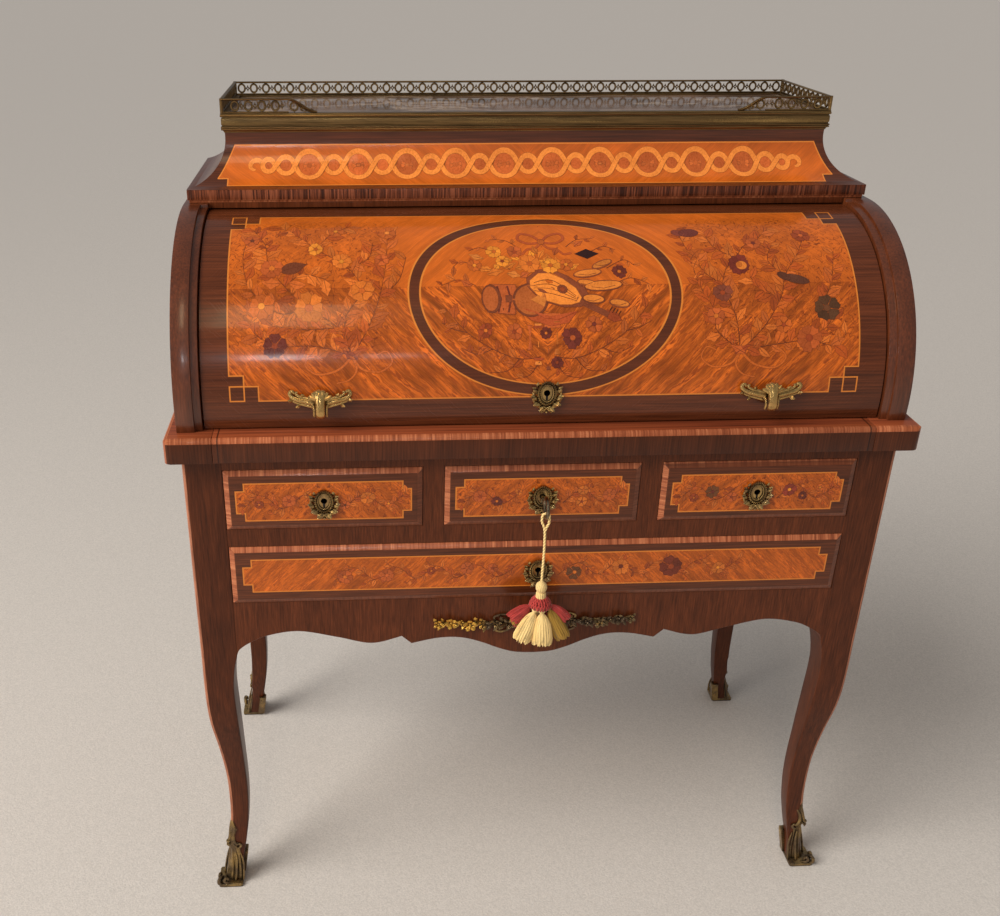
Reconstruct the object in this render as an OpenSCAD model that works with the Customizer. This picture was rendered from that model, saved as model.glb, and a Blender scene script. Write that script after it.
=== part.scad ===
// Cylinder-top writing table on cabriole legs, front towards -Y, floor at z = 0

/* [Writing top] */
// Width of the writing top
top_w = 920; // [890:1:960]
// Depth of the writing top, front edge to back edge
top_d = 456; // [446:1:520]
// Height of the writing surface above the floor
top_z = 740; // [700:1:780]
// Thickness of the writing top
top_t = 32; // [28:1:38]
// Height of the rounded strip along the top's upper edge
top_edge_h = 6; // [4:0.5:8]
// Radius of the top's front corners in plan
top_corner_r = 9; // [4:1:14]
// Width of the fixed end block at each side of the writing slide
top_end_w = 58; // [54:1:66]
// Depth of the writing slide
slide_d = 308; // [290:1:320]
// Height of the tongue that the slide's grooved edge runs on
tongue_h = 6; // [4:1:8]
// Distance the tongue stands out of the end block
tongue_out = 7.5; // [5:0.5:9]
// Thickness of the leather laid into the slide
leather_t = 1.4; // [1:0.1:2]
// Wooden margin round the leather
leather_margin = 44; // [36:1:60]

/* [Lower case] */
// Overhang of the top past the case at each side
top_side_overhang = 17; // [12:1:22]
// Overhang of the top past the case at front and back
top_front_overhang = 19; // [15:1:22]
// Width of a corner post, square in plan
post_w = 48; // [44:1:52]
// Height of the rail above the small drawers
top_rail_h = 18; // [14:1:24]
// Height of the three small drawers
small_drawer_h = 83; // [75:1:92]
// Height of the rail between small and long drawers
middle_rail_h = 25; // [18:1:32]
// Height of the long drawer
long_drawer_h = 84; // [75:1:95]
// Width of the stile between two small drawers
divider_w = 26; // [22:1:32]
// Thickness of rails and apron, front to back
rail_t = 20; // [18:1:24]
// Depth of the rail above the small drawers, front to back
top_rail_d = 36; // [34:1:44]
// Thickness of the case's side panels
panel_t = 18; // [15:1:20]
// Thickness of the back panels
back_t = 12; // [9:1:14]
// Thickness of the boards the drawers run on
dust_board_t = 12; // [9:1:14]
// Height of a drawer guide strip
guide_h = 18; // [12:1:22]
// Depth of the apron where it meets the posts
apron_end_h = 82; // [74:1:90]

/* [Drawers] */
// Visible gap round a drawer front
front_gap = 0.8; // [0.6:0.1:1.2]
// Thickness of a drawer front
front_t = 18; // [15:1:20]
// Distance the bevelled drawer front stands proud of the case
front_proud = 3.5; // [2:0.5:5]
// Width of the bevel round a drawer front
front_bevel = 7; // [5:0.5:8]
// Thickness of drawer sides
drawer_side_t = 9; // [7:1:12]
// Thickness of drawer bottoms
drawer_bottom_t = 6; // [5:1:8]
// Step between the top of a drawer front and the top of its sides
drawer_side_drop = 9; // [6:1:14]
// Space left behind a closed drawer
drawer_back_space = 18; // [12:1:24]

/* [Legs] */
// Width of the leg at its ankle
ankle_w = 27.5; // [24:0.5:31]
// Distance the ankle is set in from the case's faces
ankle_inset = 16.5; // [13:0.5:19]
// Height of the brass shoe's front leaf
sabot_h = 123; // [110:1:135]
// Height of the shoe's heel
sabot_heel_h = 55; // [48:1:62]
// Distance the shoe's toe stands out past the case's faces
toe_out = 13; // [10:0.5:14]

/* [Upper case] */
// Inset of the upper case's sides from the top's ends
upper_inset = 15; // [13:1:20]
// Width of the front band of an upper side
side_band_w = 22; // [18:1:26]
// Width of the rebate strip inside the front band
rebate_w = 9; // [7:1:11]
// Radius of the quarter-round front of an upper side
side_r = 204; // [198:1:210]
// Height of the cylinder's axis above the writing surface
axis_rise = 23; // [21:1:28]
// Distance from the top's front edge to the upper case's front
upper_setback = 19; // [16:1:24]
// Step back from the band to the rebate strip
rebate_step = 4; // [3:0.5:6]
// Distance from the top's back edge to the upper case's back
upper_back_inset = 6; // [4:1:10]
// Inset of the cornice from the upper case's sides
cornice_inset = 5; // [3:1:7]
// Distance of the cornice's front face behind the cylinder's axis
cornice_behind_axis = 5; // [4:1:8]
// Height of the cornice's upper band
cornice_band_h = 13; // [10:1:16]
// Height of the cornice's lower band
cornice_foot_h = 4; // [3:1:6]
// Set back of the lower band under the upper one
cornice_step = 2; // [1:0.5:3]
// Height of the hollow frieze under the top
frieze_h = 63; // [56:1:72]
// Distance the hollow frieze draws in, at front and sides
frieze_in = 48; // [44:1:52]
// Height of the straight band at the frieze's top
frieze_neck_h = 6; // [4:1:8]
// Thickness of the frieze's boards at their thinnest
frieze_board_t = 14; // [12:1:18]

/* [Marble and gallery] */
// Height of the brass edge moulding
brass_edge_h = 24; // [20:1:28]
// Overhang of the brass edge past the frieze
brass_overhang = 5; // [4:0.5:6]
// Width of the brass edge, outside to marble
brass_edge_w = 10; // [8:0.5:12]
// Thickness of the marble slab
marble_t = 22; // [18:1:24]
// Height of the pierced gallery
gallery_h = 18; // [15:1:22]
// Thickness of the gallery's pierced strip
gallery_t = 2.2; // [1.8:0.1:3]
// Spacing of the gallery's rings
ring_pitch = 17.1; // [16:0.1:20]
// Length of the gallery's short front returns, with their slope
return_l = 121; // [100:1:140]
// Length of the slope that ends each return
return_slope_l = 36; // [30:1:40]

/* [Cylinder] */
// Distance the cylinder lies behind the front of the sides
cylinder_recess = 8; // [7:1:10]
// Thickness of the cylinder's shell
shell_t = 14; // [12:1:16]
// Gap between the cylinder's lower edge and the writing surface
shell_lift = 1; // [0.8:0.1:2]
// Gap between the cylinder's ends and the sides
shell_end_gap = 1.5; // [1:0.1:2]
// Angle by which the shell reaches past the top, hidden under the cornice
shell_tail_angle = 8; // [5:1:12]
// Thickness of the quadrant arms that carry the shell
arm_t = 10; // [8:1:12]
// Radius of the arm's boss
boss_r = 19; // [15:1:20]
// Radius of the pivot pin
pin_r = 6; // [5:0.5:8]
// Running clearance of the pivot pin in its arm
pin_clearance = 0.05; // [0.02:0.01:0.1]
// Distance the handle stands off the cylinder
handle_out = 20; // [17:1:22]

/* [Interior fitment] */
// Height of the fitment
fitment_h = 130; // [120:1:134]
// Depth of the fitment
fitment_d = 135; // [120:1:138]
// Thickness of its boards
fitment_t = 8; // [6:1:9]
// Distance of its two partitions from the centre
partition_x = 130; // [110:1:160]
// Height of the small inner drawers
inner_drawer_h = 54; // [46:1:60]
// Radius of the inner drawers' knobs
knob_r = 6; // [5:0.5:7]

/* [Lock and key] */
// Radius of the key's shank
key_r = 2.7; // [2.3:0.1:3.2]
// Outer radius of the key's bow
bow_r = 14.5; // [13:0.5:16]
// Radius of the bow's round wire
bow_wire_r = 2.2; // [2:0.1:2.6]
// Distance the key reaches past the top's front edge
key_reach = 30; // [26:1:36]
// Height of the small drawers' keyholes above the drawers' lower edge
keyhole_z = 40; // [36:1:44]
// Length that the lock bolt shoots out
bolt_throw = 8; // [6:0.5:9]
// Thickness of the tassel's cord
cord_t = 3.2; // [3:0.1:3.6]
// Length of the cord below the bow's rim
cord_drop = 94; // [88:1:98]
// Length of the tassel
tassel_l = 93; // [86:1:98]
// Radius of the tassel's ruff and half depth of its fringe
tassel_r = 16.5; // [15:0.5:18]
// Width of the tassel across its spread fringe
tassel_w = 76; // [68:1:84]

/* [Hidden] */

// Smoothness of full circles
$fn = 64;
// Gap under a piece that slides on another
run_gap = 0.3;
// Small gap between neighbours that don't touch
joint_gap = 0.5;
// Cut that reaches safely past a face
past = 1;
// A reach longer than any piece
far = 1200;

// Main planes, front to back; the key's bow and the top's back edge are equally far from y = 0
front_y = (key_reach - top_d) / 2;
back_y = front_y + top_d;
case_front = front_y + top_front_overhang;
case_back = back_y - top_front_overhang;
case_mid = (case_front + case_back) / 2;
case_d = case_back - case_front;
case_half = top_w / 2 - top_side_overhang;
inner_half = case_half - post_w;
panel_in = case_half - panel_t;

// Main heights of the lower case
under_top_z = top_z - top_t;
small_top_z = under_top_z - top_rail_h;
small_bottom_z = small_top_z - small_drawer_h;
long_top_z = small_bottom_z - middle_rail_h;
case_bottom_z = long_top_z - long_drawer_h;
post_bottom_z = case_bottom_z - apron_end_h;

// Drawer openings
small_drawer_w = (2 * inner_half - 2 * divider_w) / 3;
small_drawer_x = small_drawer_w + divider_w;
panel_y0 = case_front + post_w;
panel_y1 = case_back - post_w;

// Writing slide
bed_half = top_w / 2 - top_end_w;
slide_half = bed_half - joint_gap;
slide_back_y = front_y + slide_d;
bed_top_z = top_z + 1;
tongue_z = under_top_z + top_t * 0.42;

// Upper case
upper_half = top_w / 2 - upper_inset;
side_in = upper_half - side_band_w - rebate_w;
axis_y = front_y + upper_setback + side_r;
axis_z = top_z + axis_rise;
side_top_z = axis_z + side_r;
upper_back_y = back_y - upper_back_inset;
cornice_half = upper_half - cornice_inset;
cornice_y = axis_y + cornice_behind_axis;
cornice_z = side_top_z + cornice_foot_h;
frieze_z = cornice_z + cornice_band_h;
frieze_top_z = frieze_z + frieze_h;
neck_z = frieze_top_z - frieze_neck_h;
brass_top_z = frieze_top_z + brass_edge_h;
frieze_top_half = cornice_half - frieze_in;
frieze_top_y = cornice_y + frieze_in;
brass_half = frieze_top_half + brass_overhang;
brass_front = frieze_top_y - brass_overhang;
brass_back = upper_back_y + brass_overhang;
marble_half = brass_half - brass_edge_w;

// The hollow is an arc that starts upright under the neck and ends on the cornice's edge
hollow_drop = frieze_h - frieze_neck_h;
hollow_sweep = 2 * atan2(frieze_in, hollow_drop);
hollow_r = hollow_drop / sin(hollow_sweep);

// Cylinder
cyl_r = side_r - cylinder_recess;
shell_in_r = cyl_r - shell_t;
shell_half = side_in - shell_end_gap;
arm_x = shell_half - arm_t;
cap_t = 2;

// Interior fitment
fitment_front = axis_y - 10;
fitment_half = arm_x - cap_t - 6;
column_half = fitment_half - fitment_t;
shelf_z = bed_top_z + fitment_t + inner_drawer_h;
inner_drawer_x0 = partition_x + fitment_t / 2;
inner_drawer_mid = (inner_drawer_x0 + column_half) / 2;
inner_wall = 5;

// Lock and key
lock_z = small_bottom_z + keyhole_z;
bow_y = front_y - key_reach + bow_r;
rim_r = bow_r - bow_wire_r;
lock_half = 20;
lock_d = 12;
bolt_half = 6;
bolt_rest_top = small_top_z - front_gap - 0.4;

// Shape helpers

// Extrudes an outline drawn as (y, z) from x0 to x1
module along_x(x0, x1) {
    translate([x0, 0, 0]) rotate([90, 0, 90]) linear_extrude(x1 - x0) children();
}

// Extrudes an outline drawn as (x, z) from y0 to y1
module along_y(y0, y1) {
    translate([0, y1, 0]) rotate([90, 0, 0]) linear_extrude(y1 - y0) children();
}

// Box between two corners
module box(low, high) {
    translate(low) cube(high - low);
}

// Shows its children on the given side, -1 for left
module on_side(side) {
    mirror([side < 0 ? 1 : 0, 0, 0]) children();
}

// Point of a smooth curve between p1 and p2, with its neighbours p0 and p3
function smooth_at(p0, p1, p2, p3, t) = 0.5 * (2 * p1 + (p2 - p0) * t
    + (2 * p0 - 5 * p1 + 4 * p2 - p3) * t * t + (3 * p1 - p0 - 3 * p2 + p3) * t * t * t);

// Smooth curve through the stations, with n points to each stretch
function smooth(stations, n) = let (last = len(stations) - 1) concat(
    [for (i = [0 : last - 1]) for (k = [0 : n - 1])
        smooth_at(stations[max(i - 1, 0)], stations[i], stations[i + 1],
            stations[min(i + 2, last)], k / n)],
    [stations[last]]);

function reversed(list) = [for (i = [len(list) - 1 : -1 : 0]) list[i]];

function ellipse(rx, rz, n) = [for (i = [0 : n - 1]) [rx * cos(360 * i / n), rz * sin(360 * i / n)]];

// Cabriole legs and their shoes. u is the distance inwards from the case's face.

ankle_in = ankle_inset + ankle_w;
sole_z = 12;

// Stations are [u, share of the free leg's height]
leg_outer = [[0, 1], [0, 0.83], [0.15 * ankle_inset, 0.72], [0.58 * ankle_inset, 0.6],
    [0.91 * ankle_inset, 0.48], [ankle_inset, 0.385], [0.94 * ankle_inset, 0.27],
    [0.6 * ankle_inset, 0.17], [0, 0.09], [-0.36 * ankle_inset, sole_z / post_bottom_z]];
leg_inner = [[post_w, 1], [ankle_in - 1.5, 0.94], [ankle_in - 4.5, 0.86], [ankle_in - 3, 0.72],
    [ankle_in - 1.5, 0.58], [ankle_in, 0.4], [ankle_in - 2.5, 0.27], [ankle_in - 8, 0.17],
    [ankle_in - 14, 0.09], [ankle_in - 16, sole_z / post_bottom_z]];

function leg_edge(stations) = [for (p = smooth(stations, 2)) [p[0], p[1] * post_bottom_z]];

module leg_outline() {
    polygon(concat([[0, under_top_z]], leg_edge(leg_outer),
        reversed(leg_edge(leg_inner)), [[post_w, under_top_z]]));
}

sabot_outer = [[ankle_inset - 2, sabot_h], [ankle_inset - 4.5, sabot_h * 0.84],
    [ankle_inset - 10.5, sabot_h * 0.7], [ankle_inset - 13, sabot_h * 0.61],
    [ankle_inset - 11.5, sabot_h * 0.53], [0, sabot_h * 0.36], [0.4 - toe_out * 0.55, sabot_h * 0.2],
    [-toe_out, sabot_h * 0.08], [-toe_out, 3], [3 - toe_out, 0]];
sabot_inner = [[ankle_in - 15, 0], [ankle_in - 13, 8], [ankle_in - 10.5, 20],
    [ankle_in - 10, sabot_heel_h * 0.65], [ankle_in - 6, sabot_heel_h]];
sabot_top = [[ankle_in - 6, sabot_heel_h], [ankle_in - 13, sabot_heel_h * 1.16],
    [ankle_in - 21, sabot_heel_h * 1.45], [ankle_inset + 1, sabot_h * 0.82], [ankle_inset - 2, sabot_h]];

module sabot_outline() {
    polygon(concat(smooth(sabot_outer, 2), sabot_inner, smooth(sabot_top, 2)));
}

// Cuts the same outline from front and from side, as a bandsaw does
module both_ways() {
    intersection() {
        along_y(-2 * post_w, 2 * post_w) children();
        along_x(-2 * post_w, 2 * post_w) children();
    }
}

// Corner of the case: right is 1 or -1, back is 1 or -1
module at_corner(right, back) {
    translate([right * case_half, back > 0 ? case_back : case_front, 0])
        mirror([right > 0 ? 1 : 0, 0, 0]) mirror([0, back > 0 ? 1 : 0, 0]) children();
}

module leg(right, back) {
    color("#4a1f14") at_corner(right, back) both_ways() leg_outline();
}

module sabot(right, back) {
    color("#8a7040") at_corner(right, back) difference() {
        both_ways() sabot_outline();
        both_ways() leg_outline();
    }
}

module leg_front_left() { leg(-1, -1); }
module leg_front_right() { leg(1, -1); }
module leg_back_left() { leg(-1, 1); }
module leg_back_right() { leg(1, 1); }
module sabot_front_left() { sabot(-1, -1); }
module sabot_front_right() { sabot(1, -1); }
module sabot_back_left() { sabot(-1, 1); }
module sabot_back_right() { sabot(1, 1); }

// Lower case

// Stations of the apron's lower edge are [share of the half width, share of the depth at its ends]
centre_lobe = [[0, 1.11], [0.114, 0.99], [0.238, 0.756], [0.291, 0.73], [0.413, 0.866]];
outer_lobe = [[0.446, 0.72], [0.547, 0.84], [0.661, 0.707], [0.79, 0.573], [0.896, 0.646], [1, 1]];
side_lobe = [[0, 0.756], [0.3, 0.854], [0.62, 0.634], [0.84, 0.683], [1, 1]];

function lobe_edge(stations, half, n) =
    [for (p = smooth(stations, n)) [p[0] * half, case_bottom_z - p[1] * apron_end_h]];

// Outline with the given lower edge, drawn from x = 0 to the right, and its mirror image
module lobed_outline(edge, top) {
    last = len(edge) - 1;
    polygon(concat([[-edge[last][0], top]], [for (i = [last : -1 : 1]) [-edge[i][0], edge[i][1]]],
        edge, [[edge[last][0], top]]));
}

module front_apron() {
    edge = concat(lobe_edge(centre_lobe, inner_half, 4), lobe_edge(outer_lobe, inner_half, 4));
    color("#5a2417") along_y(case_front, case_front + rail_t) lobed_outline(edge, case_bottom_z);
}

// Garland of gilt leaves and flowers at the apron's centre, on a curved stem
garland_half = 0.354 * inner_half;
garland_z = case_bottom_z - 0.44 * apron_end_h;
garland_r = 0.21 * apron_end_h;
function garland_drop(x) = 0.12 * apron_end_h * (1 - pow(x / garland_half, 2));

module apron_mount() {
    stem = 0.18 * garland_r;
    color("#7a6236") {
        for (i = [-9 : 9]) {
            x = i * garland_half / 9.5;
            translate([x, case_front, garland_z - garland_drop(x) + stem * cos(180 * i)])
                rotate([90, 0, 0]) cylinder(r = garland_r * (0.53 - abs(i) * 0.032),
                    h = garland_r * (0.3 + (abs(i) % 2) * 0.09));
        }
        translate([0, case_front, garland_z]) rotate([90, 0, 0])
            cylinder(r = garland_r, h = 0.36 * garland_r);
        along_y(case_front - 0.15 * garland_r, case_front)
            polygon([for (way = [1, -1]) for (i = [-10 : 10])
                let (x = way * i * garland_half / 10)
                    [x, garland_z - garland_drop(x) + way * stem]]);
    }
}

module top_rail() {
    color("#53221a") difference() {
        box([-inner_half, case_front, small_top_z], [inner_half, case_front + top_rail_d, under_top_z]);
        box([-bolt_half - joint_gap, lock_y + lock_wall - joint_gap, small_top_z - past],
            [bolt_half + joint_gap, lock_y + lock_d - lock_wall + joint_gap, small_top_z + bolt_throw + 1]);
    }
}

module middle_rail() {
    color("#53221a") box([-inner_half, case_front, long_top_z],
        [inner_half, case_front + rail_t, small_bottom_z]);
}

module drawer_dividers() {
    partition_t = 12;
    color("#53221a") for (side = [-1, 1]) on_side(side) {
        x0 = small_drawer_w / 2;
        box([x0, case_front, small_bottom_z], [x0 + divider_w, case_front + rail_t, small_top_z]);
        box([x0 + (divider_w - partition_t) / 2, case_front + rail_t, small_bottom_z],
            [x0 + (divider_w + partition_t) / 2, case_back - back_t, small_top_z]);
        box([x0, case_front + rail_t, small_bottom_z],
            [x0 + divider_w, case_back - back_t, small_bottom_z + guide_h]);
    }
}

module lower_side(side) {
    color("#6a2c1b") on_side(side) {
        along_x(panel_in, case_half) translate([case_mid, 0])
            lobed_outline(lobe_edge(side_lobe, (panel_y1 - panel_y0) / 2, 4), under_top_z);
        for (z = [case_bottom_z, small_bottom_z])
            box([inner_half, panel_y0, z], [panel_in + past, panel_y1, z + guide_h]);
    }
}
module lower_side_left() { lower_side(-1); }
module lower_side_right() { lower_side(1); }

module lower_back() {
    color("#5b4636") box([-inner_half, case_back - back_t, case_bottom_z - dust_board_t],
        [inner_half, case_back, under_top_z]);
}

// Boards that the drawers run on, one under each row
module dust_boards() {
    color("#8a6a45") for (z = [case_bottom_z, small_bottom_z]) {
        box([-inner_half, case_front + rail_t, z - dust_board_t], [inner_half, case_back - back_t, z]);
        for (side = [-1, 1]) on_side(side)
            box([inner_half, panel_y0, z - dust_board_t], [panel_in, panel_y1, z]);
    }
}

// Rails beside the drawers that the writing slide runs on
module slide_bearers() {
    color("#8a6a45") for (side = [-1, 1]) on_side(side)
        box([inner_half - 10, panel_y0, small_top_z], [panel_in, panel_y1, under_top_z]);
}

// Section of the writing top's front edge, drawn as (distance in from the edge, height)
function edge_section(reach, low) = [[0, low], [0, top_z - top_edge_h],
    [0.2 * top_edge_h, top_z - 0.4 * top_edge_h], [0.5 * top_edge_h, top_z - 0.12 * top_edge_h],
    [top_edge_h, top_z], [reach, top_z], [reach, low]];

module top_end(side) {
    color("#5a2417") on_side(side) {
        intersection() {
            along_x(bed_half, top_w / 2) translate([front_y, 0])
                polygon(edge_section(top_d, under_top_z));
            translate([top_w / 2, 0, 0]) mirror([1, 0, 0]) along_y(front_y, back_y)
                polygon(edge_section(top_end_w, under_top_z));
            translate([0, 0, under_top_z]) linear_extrude(top_t) union() {
                translate([bed_half, front_y]) square([top_end_w - top_corner_r, top_d]);
                translate([bed_half, front_y + top_corner_r])
                    square([top_end_w, top_d - top_corner_r]);
                translate([top_w / 2 - top_corner_r, front_y + top_corner_r]) circle(top_corner_r);
            }
        }
        box([bed_half - tongue_out, front_y + 34, tongue_z],
            [bed_half + past, slide_back_y, tongue_z + tongue_h]);
    }
}
module top_end_left() { top_end(-1); }
module top_end_right() { top_end(1); }

module rear_bed() {
    color("#8a6a45") box([-bed_half, slide_back_y + joint_gap, under_top_z],
        [bed_half, back_y, bed_top_z]);
}

// Writing slide

module slide_board() {
    color("#6a2c1b") difference() {
        along_x(-slide_half, slide_half) translate([front_y, 0])
            polygon(edge_section(slide_d, under_top_z + run_gap));
        box([-slide_half + leather_margin, front_y + leather_margin, top_z - leather_t - 0.2],
            [slide_half - leather_margin, slide_back_y - leather_margin / 2, top_z + past]);
        for (side = [-1, 1]) on_side(side)
            box([bed_half - tongue_out - 1.5, front_y + 30, tongue_z - 0.6],
                [slide_half + past, slide_back_y + past, tongue_z + tongue_h + 0.6]);
    }
}

module slide_leather() {
    color("#3c4a2c") box(
        [-slide_half + leather_margin, front_y + leather_margin, top_z - leather_t - 0.2],
        [slide_half - leather_margin, slide_back_y - leather_margin / 2, top_z - 0.2]);
}

// Upper case

// Outline of an upper side in (y, z): quarter round in front, straight behind
module side_outline(r) {
    intersection() {
        union() {
            translate([axis_y, axis_z]) circle(r, $fn = 128);
            translate([axis_y, top_z]) square([far, far]);
        }
        translate([axis_y - far, top_z]) square([far + upper_back_y - axis_y, side_top_z - top_z]);
    }
}

module upper_side(side) {
    color("#55251a") on_side(side) difference() {
        union() {
            along_x(side_in + rebate_w, upper_half) side_outline(side_r);
            along_x(side_in, side_in + rebate_w) side_outline(side_r - rebate_step);
        }
        translate([side_in - past, axis_y, axis_z]) rotate([0, 90, 0])
            cylinder(r = pin_r, h = past + 12);
    }
}
module upper_side_left() { upper_side(-1); }
module upper_side_right() { upper_side(1); }

module upper_back() {
    color("#5b4636") box([-side_in, upper_back_y - back_t, bed_top_z],
        [side_in, upper_back_y, side_top_z]);
}

module cornice() {
    color("#47211a") {
        box([-cornice_half, cornice_y, cornice_z], [cornice_half, upper_back_y, frieze_z]);
        box([-cornice_half + cornice_step, cornice_y + cornice_step, side_top_z],
            [cornice_half - cornice_step, upper_back_y, cornice_z]);
        box([-side_in, cornice_y + cornice_step, axis_z + cyl_r + 1.5],
            [side_in, cornice_y + rail_t, side_top_z]);
    }
}

// Section of the hollow frieze, drawn as (distance in from the cornice's edge, height)
module frieze_section(reach) {
    difference() {
        translate([0, frieze_z]) square([reach, frieze_h]);
        translate([frieze_in - hollow_r, neck_z]) circle(hollow_r, $fn = 128);
        translate([-past, neck_z]) square([frieze_in + past, frieze_h]);
    }
}

module hollow_frieze() {
    color("#b5541f") difference() {
        intersection() {
            along_x(-cornice_half, cornice_half) translate([cornice_y, 0])
                frieze_section(upper_back_y - cornice_y);
            translate([-cornice_half, 0, 0]) along_y(cornice_y, upper_back_y)
                frieze_section(2 * cornice_half);
            translate([cornice_half, 0, 0]) mirror([1, 0, 0]) along_y(cornice_y, upper_back_y)
                frieze_section(2 * cornice_half);
        }
        box([frieze_board_t - frieze_top_half, frieze_top_y + frieze_board_t, frieze_z - past],
            [frieze_top_half - frieze_board_t, upper_back_y - frieze_board_t,
                frieze_top_z - frieze_board_t]);
    }
}

// Brass edge: bands as [height share from, height share to, set back as a share of the width]
brass_bands = [[0, 0.12, 0.4], [0.12, 0.2, 0.16], [0.2, 0.32, 0.06], [0.32, 0.4, 0.2],
    [0.4, 0.72, 0.14], [0.72, 0.8, 0.24], [0.8, 0.92, 0.04], [0.92, 1, 0.1]];

module brass_edge() {
    color("#7d6537") difference() {
        for (band = brass_bands) {
            back_set = band[2] * brass_edge_w;
            box([back_set - brass_half, brass_front + back_set, frieze_top_z + brass_edge_h * band[0]],
                [brass_half - back_set, brass_back - back_set, frieze_top_z + brass_edge_h * band[1]]);
        }
        box([-marble_half, brass_front + brass_edge_w, frieze_top_z - past],
            [marble_half, brass_back - brass_edge_w, brass_top_z + past]);
    }
}

module marble_top() {
    color("#8d8081") box([run_gap - marble_half, brass_front + brass_edge_w + run_gap, frieze_top_z],
        [marble_half - run_gap, brass_back - brass_edge_w - run_gap, frieze_top_z + marble_t]);
}

rail_w = 4.4;
rail_h = 2.6;
foot_rail_h = 2;
pierced_h = gallery_h - rail_h - foot_rail_h;
ring_out_r = pierced_h / 2 - 0.8;

// Pierced strip of length l, drawn as (distance along, height above the brass edge)
module pierced_strip(l) {
    count = floor(l / ring_pitch);
    start = (l - (count - 1) * ring_pitch) / 2;
    mid = foot_rail_h + pierced_h / 2;
    for (i = [0 : count - 1]) translate([start + i * ring_pitch, mid]) difference() {
        union() {
            circle(ring_out_r);
            translate([-0.8, -pierced_h / 2]) square([1.6, pierced_h]);
        }
        circle(ring_out_r - 1.5);
    }
    for (i = [0 : count - 2]) translate([start + (i + 0.5) * ring_pitch, mid]) circle(1.9);
    for (i = [0 : count - 2]) translate([start + i * ring_pitch + ring_out_r - 0.5, mid - 0.45])
        square([ring_pitch - 2 * ring_out_r + 1, 0.9]);
    square([l, foot_rail_h]);
}

// Straight run of gallery along +X from the origin, standing on the brass edge
module gallery_run(l) {
    along_y(-gallery_t / 2, gallery_t / 2) pierced_strip(l);
    box([0, -rail_w / 2, gallery_h - rail_h], [l, rail_w / 2, gallery_h]);
}

// Sloping end of a front return, falling to the brass edge
module return_slope() {
    steps = 8;
    top = [for (i = [0 : steps]) [return_slope_l * i / steps,
        rail_h + (gallery_h - rail_h) * (1 + cos(180 * i / steps)) / 2]];
    low = [for (p = reversed(top)) [p[0], p[1] - rail_h]];
    along_y(-rail_w / 2, rail_w / 2) polygon(concat(top, low));
}

module gallery() {
    line_x = brass_half - 1 - rail_w / 2;
    line_front = brass_front + 1 + rail_w / 2;
    line_back = brass_back - 1 - rail_w / 2;
    color("#6b5a3a") translate([0, 0, brass_top_z]) {
        translate([-line_x, line_back, 0]) gallery_run(2 * line_x);
        for (side = [-1, 1]) on_side(side) {
            translate([line_x, line_front, 0]) rotate(90) gallery_run(line_back - line_front);
            translate([line_x, line_front, 0]) rotate(180) gallery_run(return_l - return_slope_l);
            translate([line_x - return_l + return_slope_l, line_front, 0]) mirror([1, 0, 0])
                return_slope();
            for (y = [line_front, line_back]) translate([line_x, y, 0])
                cylinder(r = rail_w / 2, h = gallery_h);
        }
    }
}

// Interior fitment

module fitment() {
    top = bed_top_z + fitment_h;
    back = fitment_front + fitment_d;
    color("#7b4424") difference() {
        box([-fitment_half, fitment_front, bed_top_z], [fitment_half, back, top]);
        for (side = [-1, 1]) on_side(side) {
            box([inner_drawer_x0, fitment_front - past, bed_top_z + fitment_t],
                [column_half, back - fitment_t, shelf_z]);
            box([inner_drawer_x0, fitment_front - past, shelf_z + fitment_t],
                [column_half, back - fitment_t, top - fitment_t]);
        }
        box([fitment_t / 2 - partition_x, fitment_front - past, bed_top_z + fitment_t],
            [partition_x - fitment_t / 2, back - fitment_t, top - fitment_t]);
    }
}

module inner_drawer(side) {
    low = bed_top_z + fitment_t + run_gap;
    high = shelf_z - front_gap;
    x0 = inner_drawer_x0 + front_gap;
    x1 = column_half - front_gap;
    back = fitment_front + fitment_d - fitment_t - 3;
    color("#a8592a") on_side(side) difference() {
        box([x0, fitment_front, low], [x1, back, high]);
        box([x0 + inner_wall, fitment_front + fitment_t, low + inner_wall],
            [x1 - inner_wall, back - inner_wall, high + past]);
    }
}
module inner_drawer_left() { inner_drawer(-1); }
module inner_drawer_right() { inner_drawer(1); }

// Turned knob: base, neck and ball
module inner_knob(side) {
    z = bed_top_z + fitment_t + inner_drawer_h / 2;
    color("#9a7c3f") translate([side * inner_drawer_mid, fitment_front, z]) rotate([90, 0, 0]) {
        cylinder(r = knob_r, h = 1.5);
        cylinder(r = knob_r * 0.45, h = knob_r * 1.6);
        translate([0, 0, knob_r * 1.8]) sphere(knob_r * 0.9);
    }
}
module inner_knob_left() { inner_knob(-1); }
module inner_knob_right() { inner_knob(1); }

// Cylinder

// Direction at an angle up from the front, as (y, z)
function front_dir(angle) = [-cos(angle), sin(angle)];

// Ring about the cylinder's axis, kept between two angles up from the front
module ring_sector(r_in, r_out, a0, a1) {
    translate([axis_y, axis_z]) intersection() {
        difference() {
            circle(r_out, $fn = 128);
            circle(r_in, $fn = 128);
        }
        polygon(concat([[0, 0]], [for (i = [0 : 4]) 2 * r_out * front_dir(a0 + (a1 - a0) * i / 4)]));
    }
}

module cylinder_shell() {
    color("#b24a1c") difference() {
        along_x(-shell_half, shell_half) ring_sector(shell_in_r, cyl_r, -20, 90 + shell_tail_angle);
        box([-far, -far, 0], [far, axis_y, top_z + shell_lift]);
    }
}

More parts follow.
